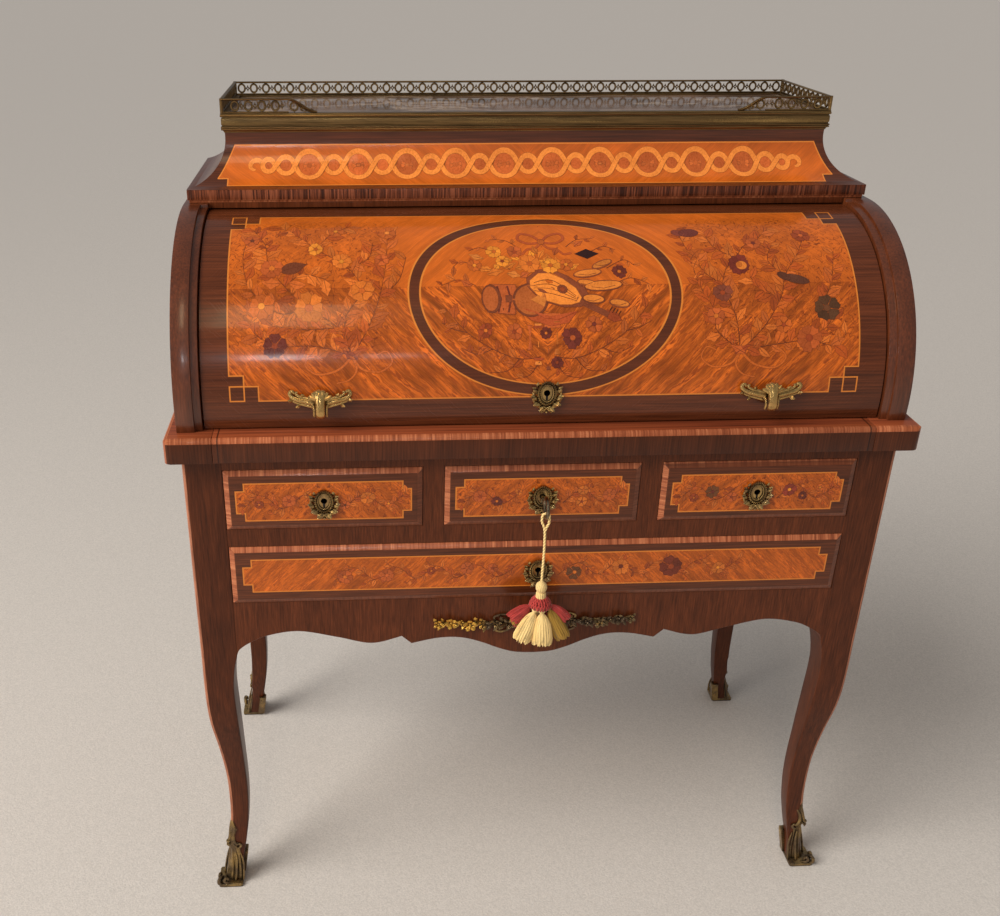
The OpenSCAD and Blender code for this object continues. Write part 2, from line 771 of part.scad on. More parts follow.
module cylinder_arm(side) {
    rim_w = 16;
    spoke_w = 22;
    color("#5b4636") on_side(side) along_x(arm_x, shell_half) difference() {
        union() {
            ring_sector(shell_in_r - rim_w, shell_in_r, 2, 88);
            translate([axis_y, axis_z]) {
                circle(boss_r);
                for (angle = [8, 82]) rotate(180 - angle) translate([0, -spoke_w / 2])
                    square([shell_in_r - rim_w / 2, spoke_w]);
            }
        }
        translate([axis_y, axis_z]) circle(pin_r + pin_clearance);
    }
}
module cylinder_arm_left() { cylinder_arm(-1); }
module cylinder_arm_right() { cylinder_arm(1); }

// Brass pins, seated in the sides, that the arms turn on
module pivot_pins() {
    color("#9a7c3f") for (side = [-1, 1]) on_side(side)
        translate([0, axis_y, axis_z]) rotate([0, 90, 0]) {
            translate([0, 0, arm_x - run_gap - cap_t]) cylinder(r = pin_r + 4, h = cap_t);
            translate([0, 0, arm_x - run_gap - cap_t])
                cylinder(r = pin_r, h = side_in + 12 - arm_x + run_gap + cap_t);
        }
}

// Presses an outline drawn as (x, z) onto the cylinder's face, from depth r0 to r1
module on_cylinder(r0, r1) {
    intersection() {
        along_y(axis_y - cyl_r - 2 * handle_out, axis_y - cyl_r / 2) children();
        along_x(-shell_half, shell_half) ring_sector(r0, r1, -20, 60);
    }
}

handle_z = axis_z + 11;

module cylinder_handle(side) {
    lip_y = axis_y - cyl_r;
    color("#8a7040") translate([side * small_drawer_x, 0, 0]) {
        on_cylinder(cyl_r, cyl_r + 3) translate([0, handle_z]) {
            translate([-9, -18]) square([18, 38]);
            for (way = [-1, 1]) {
                translate([way * 16, 4]) circle(11);
                translate([way * 27, -6]) circle(9);
                translate([way * 31, 8]) circle(5);
            }
        }
        along_x(-8.5, 8.5) polygon([[lip_y, handle_z + 6], [lip_y, handle_z + 16],
            [lip_y - handle_out * 0.35, handle_z + 20], [lip_y - handle_out * 0.75, handle_z + 16],
            [lip_y - handle_out, handle_z + 5], [lip_y - handle_out, handle_z - 6],
            [lip_y - handle_out * 0.85, handle_z - 14], [lip_y - handle_out * 0.6, handle_z - 15],
            [lip_y - handle_out * 0.55, handle_z - 6], [lip_y - handle_out * 0.58, handle_z + 3],
            [lip_y - handle_out * 0.4, handle_z + 8]]);
        for (way = [-1, 1]) translate([way * 22, lip_y - 2, handle_z - 2]) rotate([90, 0, 0])
            cylinder(r = 6, h = 5);
    }
}
module cylinder_handle_left() { cylinder_handle(-1); }
module cylinder_handle_right() { cylinder_handle(1); }

// Oval plate with a wreath round its foot and a keyhole through it, drawn about its centre
module escutcheon_outline() {
    keyhole_r = key_r + 1;
    difference() {
        union() {
            polygon(ellipse(11.5, 15, 32));
            for (i = [-5 : 5]) rotate(24 * i) translate([0, -16]) circle(4.6 - abs(i) * 0.25);
            translate([0, -20]) circle(5);
        }
        circle(keyhole_r);
        translate([-1.5, -9]) square([3, 9]);
    }
}

module escutcheon_on_drawer(x, z) {
    color("#8a7040") translate([x, 0, z])
        along_y(case_front - front_proud - 3, case_front - front_proud) escutcheon_outline();
}

module cylinder_escutcheon() {
    color("#8a7040") on_cylinder(cyl_r, cyl_r + 3) translate([0, axis_z + 18]) escutcheon_outline();
}

// Drawers

keyhole_cut_r = key_r + 1.3;
long_keyhole_z = case_bottom_z + long_drawer_h / 2;

// Bevelled front that fills an opening w wide and h high, with its keyhole
module drawer_front(x, w, z, h, hole_z) {
    x0 = x - w / 2 + front_gap;
    x1 = x + w / 2 - front_gap;
    z0 = z + run_gap;
    z1 = z + h - front_gap;
    color("#a8481f") difference() {
        union() {
            box([x0, case_front, z0], [x1, case_front + front_t, z1]);
            intersection() {
                along_x(x0, x1) polygon([[case_front, z0], [case_front - front_proud, z0 + front_bevel],
                    [case_front - front_proud, z1 - front_bevel], [case_front, z1]]);
                translate([0, 0, z0]) linear_extrude(z1 - z0) polygon([[x0, case_front],
                    [x0 + front_bevel, case_front - front_proud],
                    [x1 - front_bevel, case_front - front_proud], [x1, case_front]]);
            }
        }
        translate([x, case_front + front_t + past, hole_z]) rotate([90, 0, 0])
            cylinder(r = keyhole_cut_r, h = front_t + front_proud + 2 * past);
    }
}

// Open box behind a drawer front
module drawer_box(x, w, z, h) {
    x0 = x - w / 2 + front_gap;
    x1 = x + w / 2 - front_gap;
    y0 = case_front + front_t;
    y1 = case_back - back_t - drawer_back_space;
    z1 = z + h - front_gap - drawer_side_drop;
    color("#9b7a4f") difference() {
        box([x0, y0, z + run_gap], [x1, y1, z1]);
        box([x0 + drawer_side_t, y0 - past, z + run_gap + drawer_bottom_t],
            [x1 - drawer_side_t, y1 - drawer_side_t, z1 + past]);
    }
}

module small_front(place) {
    drawer_front(place * small_drawer_x, small_drawer_w, small_bottom_z, small_drawer_h, lock_z);
}
module small_box(place) {
    drawer_box(place * small_drawer_x, small_drawer_w, small_bottom_z, small_drawer_h);
}

module left_drawer_front() { small_front(-1); }
module left_drawer_box() { small_box(-1); }
module left_escutcheon() { escutcheon_on_drawer(-small_drawer_x, lock_z); }
module centre_drawer_front() { small_front(0); }
module centre_drawer_box() { small_box(0); }
module centre_escutcheon() { escutcheon_on_drawer(0, lock_z); }
module right_drawer_front() { small_front(1); }
module right_drawer_box() { small_box(1); }
module right_escutcheon() { escutcheon_on_drawer(small_drawer_x, lock_z); }

module long_drawer_front() {
    drawer_front(0, 2 * inner_half, case_bottom_z, long_drawer_h, long_keyhole_z);
}
module long_drawer_box() {
    drawer_box(0, 2 * inner_half, case_bottom_z, long_drawer_h);
}
module long_escutcheon() { escutcheon_on_drawer(0, long_keyhole_z); }

// Lock and key of the centre small drawer

lock_y = case_front + front_t;
lock_top = bolt_rest_top - 0.2;
lock_wall = 2;
bit_reach = 9;
bolt_low = lock_z + bit_reach + 2.5;

module drawer_lock() {
    color("#8f8a80") difference() {
        box([-lock_half, lock_y, lock_z - 17], [lock_half, lock_y + lock_d, lock_top]);
        box([-bit_reach - 2, lock_y + lock_wall, lock_z - bit_reach - 2],
            [bit_reach + 2, lock_y + lock_d - lock_wall, bolt_low]);
        box([-bolt_half - run_gap, lock_y + lock_wall, bolt_low - past],
            [bolt_half + run_gap, lock_y + lock_d - lock_wall, lock_top + past]);
        translate([0, lock_y + lock_wall + past, lock_z]) rotate([90, 0, 0])
            cylinder(r = key_r + 0.05, h = lock_wall + 2 * past);
    }
}

module lock_bolt() {
    color("#b5b0a5") box([-bolt_half, lock_y + lock_wall + run_gap, bolt_low + run_gap],
        [bolt_half, lock_y + lock_d - lock_wall - run_gap, bolt_rest_top]);
}

// Shank with its bit, a collar and a bow of round wire that stands upright
module key() {
    shank_back = lock_y + lock_d - lock_wall - 1;
    color("#8f8a80") translate([0, 0, lock_z]) {
        translate([0, shank_back, 0]) rotate([90, 0, 0])
            cylinder(r = key_r, h = shank_back - bow_y - rim_r);
        translate([0, bow_y + rim_r + 9, 0]) rotate([90, 0, 0]) cylinder(r = key_r + 1.6, h = 3);
        box([-1.2, lock_y + lock_wall + 1, -bit_reach], [1.2, shank_back, 0]);
        translate([0, bow_y, 0]) rotate([0, 90, 0]) rotate_extrude()
            translate([rim_r, 0]) circle(bow_wire_r, $fn = 32);
    }
}

// Cord: a hook over the bow's lower rim, then straight down to the tassel.
// Points are [x, drop below the rim's centre line], in the plane of the bow's centre
hook_step = 52;
hook_r = (bow_wire_r + cord_t / 2 + run_gap) / cos(hook_step / 2);
cord_route = concat([[hook_r, 0.075 * cord_drop]],
    [for (i = [0 : 4]) let (a = i * hook_step - 14) hook_r * [cos(a), -sin(a)]],
    [for (p = [[-0.92, 0.075], [-0.33, 0.15], [0, 0.235], [0.09, 0.36], [0.13, 0.49],
        [0.11, 0.62], [0.07, 0.745], [0, 0.87], [0, 1]]) [p[0] * hook_r, p[1] * cord_drop]]);
cord_sides = 8;
rim_z = lock_z - rim_r;
tassel_top = rim_z - cord_drop;

function unit(v) = v / norm(v);
function route_dir(i) = unit(cord_route[min(i + 1, len(cord_route) - 1)] - cord_route[max(i - 1, 0)]);
function cord_ring(i) = let (p = cord_route[i], d = route_dir(i), across = [-d[1], d[0]])
    [for (k = [0 : cord_sides - 1]) let (a = 360 * k / cord_sides,
        flat = p + cord_t / 2 * cos(a) * across) [flat[0], bow_y + cord_t / 2 * sin(a), rim_z - flat[1]]];

// Faces of a closed tube: count rings of the same number of points, wound the same way
function tube_faces(count, sides) = let (end = (count - 1) * sides) concat(
    [for (i = [0 : count - 2]) for (k = [0 : sides - 1])
        let (a = i * sides, n = (k + 1) % sides)
        for (face = [[a + k, a + n, a + sides + n], [a + k, a + sides + n, a + sides + k]]) face],
    [for (k = [1 : sides - 2]) [0, k + 1, k]],
    [for (k = [1 : sides - 2]) [end, end + k, end + k + 1]]);

module key_cord() {
    count = len(cord_route);
    color("#7a2a22") polyhedron(points = [for (i = [0 : count - 1]) each cord_ring(i)],
        faces = tube_faces(count, cord_sides));
}

// Tassel: ball, neck and ruff, then a fringe that spreads sideways, flat against the case.
// Round part as [share of the radius, share of the length], fringe with the share of the half width first.
tassel_sides = 24;
tassel_head = concat([[0.18, 0]], [for (a = [30 : 20 : 150]) [0.06 + 0.38 * sin(a), 0.08 - 0.08 * cos(a)]],
    [[0.25, 0.16], [0.22, 0.205], [0.48, 0.237], [0.84, 0.27]]);
tassel_fringe = [[0.39, 0.9, 0.31], [0.5, 0.88, 0.38], [0.7, 0.84, 0.46], [0.88, 0.9, 0.55], [1, 1, 0.66],
    [0.97, 0.97, 0.78], [0.8, 0.8, 0.9], [0.56, 0.56, 1]];

function tassel_ring(wide, deep, drop) = [for (k = [0 : tassel_sides - 1]) let (a = 360 * k / tassel_sides)
    [-wide * cos(a), bow_y + deep * sin(a), tassel_top - drop * tassel_l]];

module key_tassel() {
    color("#a8674a") polyhedron(
        points = [for (ring = concat(
                [for (p = tassel_head) tassel_ring(p[0] * tassel_r, p[0] * tassel_r, p[1])],
                [for (p = tassel_fringe) tassel_ring(p[0] * tassel_w / 2, p[1] * tassel_r, p[2])]))
            each ring],
        faces = tube_faces(len(tassel_head) + len(tassel_fringe), tassel_sides));
}

leg_front_left();
leg_front_right();
leg_back_left();
leg_back_right();
sabot_front_left();
sabot_front_right();
sabot_back_left();
sabot_back_right();
front_apron();
apron_mount();
top_rail();
middle_rail();
drawer_dividers();
lower_side_left();
lower_side_right();
lower_back();
dust_boards();
slide_bearers();
top_end_left();
top_end_right();
rear_bed();
upper_side_left();
upper_side_right();
upper_back();
cornice();
hollow_frieze();
brass_edge();
marble_top();
gallery();
fitment();
pivot_pins();
cylinder_shell();
cylinder_arm_left();
cylinder_arm_right();
cylinder_handle_left();
cylinder_handle_right();
cylinder_escutcheon();
slide_board();
slide_leather();
left_drawer_front();
left_drawer_box();
left_escutcheon();
centre_drawer_front();
centre_drawer_box();
centre_escutcheon();
drawer_lock();
right_drawer_front();
right_drawer_box();
right_escutcheon();
long_drawer_front();
long_drawer_box();
long_escutcheon();
inner_drawer_left();
inner_knob_left();
inner_drawer_right();
inner_knob_right();
key();
lock_bolt();
key_cord();
key_tassel();
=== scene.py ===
"""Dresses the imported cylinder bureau: veneers, inlay, gilt mounts, gallery, marble and tassel."""

import random
from math import acos, asin, atan2, cos, degrees, hypot, pi, radians, sin, tau

import bpy
from mathutils import Matrix, Vector


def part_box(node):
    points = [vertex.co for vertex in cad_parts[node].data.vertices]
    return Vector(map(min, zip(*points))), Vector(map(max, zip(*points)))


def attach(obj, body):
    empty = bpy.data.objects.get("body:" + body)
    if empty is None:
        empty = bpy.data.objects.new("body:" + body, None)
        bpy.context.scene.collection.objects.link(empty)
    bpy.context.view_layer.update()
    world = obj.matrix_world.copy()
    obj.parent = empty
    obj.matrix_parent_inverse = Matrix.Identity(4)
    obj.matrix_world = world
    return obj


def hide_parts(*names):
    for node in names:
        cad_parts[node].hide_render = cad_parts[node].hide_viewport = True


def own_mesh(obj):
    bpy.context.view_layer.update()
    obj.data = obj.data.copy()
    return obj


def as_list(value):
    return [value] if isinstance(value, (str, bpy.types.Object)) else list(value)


bl_info = {
    "name": "Cylinder Bureau Looks",
    "version": (1, 0, 0),
    "blender": (4, 5, 0),
    "location": "3D View > Sidebar > Bureau",
    "description": "Builds the veneered, gilt and silk pieces of a cylinder bureau over its packed frame",
    "category": "Object",
}

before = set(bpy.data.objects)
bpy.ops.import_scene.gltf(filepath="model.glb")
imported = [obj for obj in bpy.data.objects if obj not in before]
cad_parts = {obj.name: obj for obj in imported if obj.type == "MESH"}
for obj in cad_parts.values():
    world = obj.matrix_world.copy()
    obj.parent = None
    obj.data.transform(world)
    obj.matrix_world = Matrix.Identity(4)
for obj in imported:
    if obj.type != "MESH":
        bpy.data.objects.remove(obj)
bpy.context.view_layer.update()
MM = 0.001
MERGE = 0.00001
DIAGONAL = 0.7071

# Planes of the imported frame, in millimetres
CASE_HALF, CASE_FRONT, CASE_BACK = 443, -194, 224
INNER_HALF, POST = 395, 48
UNDER_TOP, APRON_TOP, POST_FOOT = 708, 498, 416
DRAWER_FACE = -197.5
AXIS_Y, AXIS_Z, CYLINDER_R, SHELL_T, SHELL_HALF = 10, 763, 196, 14, 412.5
SHELL_LOW, SHELL_HIGH = -6.31, 98
CORNICE_HALF, CORNICE_Y, UPPER_BACK, CORNICE_Z = 440, 15, 237, 971
FRIEZE_LOW, NECK, FRIEZE_TOP, HOLLOW_R, FRIEZE_IN = 984, 1041, 1047, 57.85, 48
BRASS_HALF, BRASS_FRONT, BRASS_BACK, BRASS_TOP = 397, 58, 242, 1071
SMALL_DRAWER_X, SMALL_Z, LOCK_Z, LONG_KEYHOLE_Z = 272, 646.5, 647, 540
HANDLE_Z, ESCUTCHEON_Z = 774, 781
RIM_Z, BOW_Y, TASSEL_TOP = 634.7, -228.5, 540.7
INK = (74, 32, 16)


def linear(value):
    """A colour channel from 0 to 255 as a linear share."""
    share = value / 255
    return share / 12.92 if share <= 0.04045 else ((share + 0.055) / 1.055) ** 2.4


def tone(rgb):
    """A colour of three channels from 0 to 255 as a linear colour with alpha."""
    return (*[linear(c) for c in rgb], 1)


def turns(count):
    """The angles of one full turn in equal steps."""
    return [tau * k / count for k in range(count)]


def length(name, description, millimetres):
    return bpy.props.FloatProperty(
        name=name, description=description, default=millimetres * MM, min=0, unit="LENGTH")


def colour(name, description, *rgb):
    return bpy.props.FloatVectorProperty(
        name=name, description=description, default=tone(rgb)[:3], size=3, min=0, max=1, subtype="COLOR")


class BureauSizes(bpy.types.PropertyGroup):
    """Sizes of the finishing work"""

    string_width: length("String Width", "Width of the light string round a veneered panel", 1.6)
    oval_band: length("Oval Band", "Width of the dark band round the medallion", 14)
    leg_rounding: length("Leg Rounding", "Radius of the corners of a cabriole leg", 3.5)
    edge: length("Wood Edge", "Rounding of the cabinet's sharp edges", 0.6)
    ring_pitch: length("Gallery Pitch", "Distance between two rings of the gallery", 17.1)
    strand: length("Cord Diameter", "Diameter of the tassel's cord", 3.2)
    beads: bpy.props.IntProperty(name="Beads", description="Beads round the rim of an escutcheon",
        default=30, min=8)


class BureauColours(bpy.types.PropertyGroup):
    """Colours of the woods, metals, marble and silks"""

    field: colour("Field", "Light veneer of the panels", 206, 100, 28)
    field_dark: colour("Field Streaks", "Dark streaks of the light veneer", 112, 44, 16)
    kingwood: colour("Kingwood", "Dark veneer of the case", 94, 46, 23)
    string: colour("Stringing", "Light lines round the panels", 226, 132, 50)
    gilt: colour("Gilt Bronze", "Cast mounts", 214, 168, 104)
    old_brass: colour("Old Brass", "Gallery and edge moulding", 122, 96, 60)
    marble: colour("Marble", "Body colour of the marble slab", 116, 92, 78)
    leather: colour("Leather", "Skiver of the writing slide", 44, 66, 38)
    cream: colour("Cream Silk", "Cord and pale fringe", 240, 206, 138)
    red: colour("Red Silk", "Ruff and red fringe", 170, 60, 54)
    olive: colour("Olive Silk", "Green-gold fringe", 158, 120, 46)
    floor: colour("Floor", "Plain floor", 210, 202, 193)


# Shader maths

FINISHES = {}


class Number:
    """A socket that does arithmetic: an expression on it adds Math nodes to its finish."""

    def __init__(self, finish, socket):
        self.finish, self.socket = finish, socket

    def __add__(self, other):
        return self.finish.math("ADD", self, other)

    def __sub__(self, other):
        return self.finish.math("SUBTRACT", self, other)

    def __rsub__(self, other):
        return self.finish.math("SUBTRACT", other, self)

    def __mul__(self, other):
        return self.finish.math("MULTIPLY", self, other)

    def __truediv__(self, other):
        return self.finish.math("DIVIDE", self, other)

    def __abs__(self):
        return self.finish.math("ABSOLUTE", self)

    def __neg__(self):
        return self.finish.math("MULTIPLY", self, -1)

    __radd__ = __add__
    __rmul__ = __mul__

    def least(self, other):
        return self.finish.math("MINIMUM", self, other)

    def most(self, other):
        return self.finish.math("MAXIMUM", self, other)

    def over(self, edge=0, soft=0.0003):
        """1 above the edge and 0 below it, with a ramp as wide as soft between."""
        return self.finish.math("MULTIPLY_ADD", self, 1 / soft, 0.5 - edge / soft, clamp=True)

    def near(self, middle, reach, soft=0.0004):
        """1 within reach of the middle, 0 beyond."""
        return (reach - abs(self - middle)).over(0, soft)


class Finish:
    """One material with the nodes that paint it."""

    def __init__(self, name, **fixed):
        self.material = FINISHES[name] = bpy.data.materials.new(name)
        self.material.use_nodes = True
        self.tree = self.material.node_tree
        self.shader = next(n for n in self.tree.nodes if n.type == "BSDF_PRINCIPLED")
        for socket, value in fixed.items():
            name = socket.replace("_", " ").title().replace("Ior", "IOR")
            self.shader.inputs[name].default_value = value

    def feed(self, socket, value):
        if isinstance(value, Number):
            self.tree.links.new(value.socket, socket)
        else:
            socket.default_value = value

    def node(self, kind, settings=None, inputs=None, output=0):
        """Any node: its type, its settings, then the values or links of its sockets."""
        made = self.tree.nodes.new(kind)
        for name, value in (settings or {}).items():
            if name == "stops":
                for at, rgb in value[2:]:
                    made.color_ramp.elements.new(at)
                for element, (at, rgb) in zip(made.color_ramp.elements, value):
                    element.position, element.color = at, rgb
            else:
                setattr(made, name, value)
        for key, value in (inputs or {}).items():
            self.feed(made.inputs[key], value)
        return Number(self, made.outputs[output])

    def math(self, operation, *values, clamp=False):
        return self.node("ShaderNodeMath", {"operation": operation, "use_clamp": clamp},
            dict(enumerate(values)))

    def place(self, first="x"):
        """Object coordinates as three numbers, in metres of the frame; the one named comes first."""
        where = self.node("ShaderNodeTexCoord", output="Object")
        order = {"x": (0, 1, 2), "y": (1, 0, 2), "z": (2, 0, 1)}[first]
        return [self.node("ShaderNodeSeparateXYZ", None, {0: where}, axis) for axis in order]

    def vector(self, x, y, z):
        return self.node("ShaderNodeCombineXYZ", None, {0: x, 1: y, 2: z})

    def noise(self, x, y, z, detail=4, rough=0.55):
        return self.node("ShaderNodeTexNoise", None,
            {"Vector": self.vector(x, y, z), "Scale": 1, "Detail": detail, "Roughness": rough})

    def mix(self, share, first, second, blend="MIX"):
        return self.node("ShaderNodeMix", {"data_type": "RGBA", "blend_type": blend},
            {0: share, 6: first, 7: second}, 2)

    def ramp(self, value, *stops):
        return self.node("ShaderNodeValToRGB",
            {"stops": [(at, c if len(c) == 4 else tone(c)) for at, c in stops]}, {0: value})

    def shades(self, value, base, *stops):
        """A ramp of one colour, from pairs of a stop and the brightness there."""
        return self.ramp(value, *[(at, shaded(base, share)) for at, share in stops])

    def attribute(self, name, output="Fac"):
        return self.node("ShaderNodeAttribute", {"attribute_name": name}, output=output)

    def recess(self, reach):
        """1 in the open and towards 0 deep in a recess."""
        return self.node("ShaderNodeAmbientOcclusion", {"samples": 4}, {"Distance": reach}, "AO")

    def paint(self, base, roughness, relief=None, height=0):
        """Feeds the shader: its colour, its roughness and a relief of so many metres."""
        self.feed(self.shader.inputs["Base Color"], base)
        if roughness is not None:
            self.feed(self.shader.inputs["Roughness"], roughness)
        if relief is not None:
            bump = self.node("ShaderNodeBump", None, {"Distance": height, "Height": relief})
            self.feed(self.shader.inputs["Normal"], bump)
        return self.material


# Finishes


def finish_of(name):
    if name not in FINISHES:
        raise RuntimeError("The finish " + name + " is made by bureau.finishes, which comes first")
    return FINISHES[name]


def picked(name):
    """A colour of the panel's list, with alpha."""
    return (*getattr(bpy.context.scene.bureau_colours, name), 1)


def shaded(rgba, share):
    return (*[c * share for c in rgba[:3]], 1)


def grain(f, along, across, through, fine, long):
    """Streaks from 0 to 1 that run long one way: fine lines, and broad clouds."""
    sway = f.noise(along * 4, across * 14, through * 14, detail=2) * 0.004
    lines = f.noise(along * long, (across + sway) * fine, (through + sway) * fine, detail=5, rough=0.62)
    broad = f.noise(along * long * 0.3, (across + sway) * fine * 0.1, through * fine * 0.1, detail=3)
    return lines, broad


def kingwood_colour(f, lines, broad, share):
    base, figure = picked("kingwood"), lines * 0.7 + broad * 0.3
    return f.shades(figure, shaded(base, share), (0.34, 0.46), (0.45, 0.76), (0.54, 1), (0.64, 1.36),
        (0.74, 0.8))


def kingwood(name, along, share=1, fine=560, long=36):
    """Dark veneer with straight fine streaks along one axis; "corner" is 1 on a leg's light corner string."""
    f = Finish(name, coat_weight=0.06, coat_roughness=0.2, specular_ior_level=0.2)
    lines, broad = grain(f, *f.place(along), fine=fine, long=long)
    string = f.ramp(lines, (0.36, (134, 80, 58)), (0.62, (184, 120, 90)))
    hue = f.mix(f.attribute("corner").over(0.5, 0.5), kingwood_colour(f, lines, broad, share), string)
    return f.paint(hue, lines * 0.16 + 0.27, lines, 0.00005)


def light_banding(f, cross):
    """The light cross-banding of edges and bevels, from a share across its grain."""
    return f.ramp(cross, (0.34, (128, 66, 40)), (0.5, (164, 90, 56)), (0.66, (196, 120, 80)))


def plain_wood(name, along, dark, mid, light, rough):
    """Unpolished or lightly waxed timber of the inside and back."""
    f = Finish(name, coat_weight=0.05)
    length, across, through = f.place(along)
    lines, broad = grain(f, length, across, through, fine=210, long=5)
    pores = f.noise(length * 40, across * 1500, through * 1500, detail=1)
    base = f.ramp(lines * 0.5 + broad * 0.5, (0.34, dark), (0.5, mid), (0.68, light))
    base = f.mix(pores.over(0.64, 0.06) * 0.35, base, tone(dark))
    return f.paint(base, lines * 0.12 + rough, lines + pores * 0.4, 0.00008)


def light_veneer(f, across, along, bold, curls=0):
    """The figured light veneer: soft streaks and dark dashes along one way.

    bold is the strength of the figure, and curls that of the scorched lines between the slips.
    """
    base, dark = picked("field"), picked("field_dark")
    path = across + f.noise(across * 5, along * 9, 0.7, detail=3) * 0.02
    fine = f.noise(path * 700, along * 40, 0.3, rough=0.65)
    dash = f.noise(path * 480, along * 75, 2.6, detail=3, rough=0.6)
    band = f.noise(path * 120, along * 13, 7.3, detail=3)
    cloud = f.noise(path * 14, along * 12, 5.1, detail=3)
    figure = band * 0.55 + fine * 0.2 + cloud * 0.25
    hue = f.shades(figure, base, (0.4, 0.36), (0.47, 0.66), (0.53, 0.98), (0.62, 1.4))
    calm = f.shades(cloud * 0.5 + band * 0.2 + fine * 0.3, base, (0.34, 0.62), (0.5, 0.95), (0.66, 1.26))
    marks = dash.over(0.53, 0.1) * (0.35 + band.over(0.5, 0.2) * 0.65)
    hue = f.mix(marks * (bold * 0.8), f.mix(bold, calm, hue), dark)
    if not isinstance(curls, Number) and not curls:
        return hue, fine
    swirl = f.noise(across * 44, along * 44, 1.7, detail=2, rough=0.5)
    coils = abs(f.math("FRACT", swirl * 13) - 0.5)
    patch = f.noise(across * 150, along * 150, 4.2, detail=2)
    hue = f.mix((patch.over(0.5, 0.12) * 0.42) * curls, hue, shaded(base, 0.62))
    return f.mix((0.075 - coils).over(0, 0.06) * (patch.over(0.44, 0.1) * 0.75) * curls, hue,
        shaded(dark, 0.8)), fine


def paint_bore_shade(f, hue, away, z, middle):
    """Paints shade into the bore behind a keyhole as a dark patch on the veneer; away is the distance to its
    middle line.
    """
    bore_shade = (0.0044 - away).over() * (0.0102 - abs(z - (middle + 0.5) * MM)).over()
    return f.mix(bore_shade, hue, tone((18, 9, 5)))


def stepped_panel(dx, dz, notch):
    """Distance in from the edge of a rectangle whose corners are cut back in a square notch."""
    return dx.least(dz).least((dx - notch).most(dz - notch))


def cylinder_veneer():
    """Light quartered veneer in a string with key corners, a banded oval, and dark wood outside."""
    sizes = bpy.context.scene.bureau_sizes
    f = Finish("cylinder_veneer", coat_weight=0.36, coat_roughness=0.1, specular_ior_level=0.22)
    x, y, z = f.place()
    up, out = z - AXIS_Z * MM, AXIS_Y * MM - y
    angle = f.math("ARCTAN2", up, out)
    radius = f.math("POWER", up * up + out * out, 0.5)
    ax, s = abs(x), angle * (CYLINDER_R * MM)
    dx, ds = 0.379 - ax, (s - 0.0137).least(0.277 - s)
    edge = dx.least(ds).least((dx - 0.017).most(ds - 0.031)).least((dx - 0.034).most(ds - 0.018))
    square = abs((abs(dx - 0.0085) - 0.0085).most(abs(ds - 0.009) - 0.009))
    half = sizes.string_width / 2
    line = edge.near(0, half).most(square.near(0, half) * (dx + 0.003).over(0, 0.0004))

    rise = s - 0.1403
    ovals = [(0.165, 0.125), (0.165 - sizes.oval_band, 0.125 - sizes.oval_band)]
    outer, inner = [(f.math("POWER", (x / a) * (x / a) + (rise / b) * (rise / b), 0.5) - 1) * b for a,
        b in ovals]
    band = (-outer).least(inner).over(0, 0.0004)
    line = line.most(outer.near(0, half)).most(inner.near(0, half))

    turned = abs(s - 0.149)
    low = (0.149 - s).over(0, 0.0006)
    spray = (ax - 0.185).over(0, 0.03) * (0.262 - s).over(0, 0.02) * (s - 0.06).over(0, 0.03)
    nest = (-inner - 0.012).over(0, 0.02) * ((0.112 - s).over(0, 0.02) * 0.75)
    base, fine = light_veneer(f, (ax + turned) * DIAGONAL, (ax - turned) * DIAGONAL, low * 0.85 + 0.12,
        spray.most(nest))
    seam = turned.near(0, 0.0003, 0.0003)
    base = f.mix(seam * 0.5, base, picked("field_dark"))
    flat, haze = grain(f, x, s * 1, radius, fine=460, long=12)
    dark = kingwood_colour(f, flat, haze, 1.05)
    band_wood = f.mix(0.4, kingwood_colour(f, flat, haze, 1), tone((92, 46, 28)))
    hue = f.mix(edge.over(), dark, base)
    hue = f.mix(band, hue, band_wood)
    hue = f.mix(line, hue, f.mix(fine, shaded(picked("string"), 0.8), picked("string")))
    inside = f.ramp(flat, (0.35, (96, 50, 28)), (0.65, (148, 86, 48)))
    hue = f.mix((0.1945 - radius).over(0, 0.0006), hue, inside)
    # The keyhole's bore gets a patch of painted shade.
    return f.paint(paint_bore_shade(f, hue, ax, z, ESCUTCHEON_Z), fine * 0.12 + 0.2, fine, 0.00003)


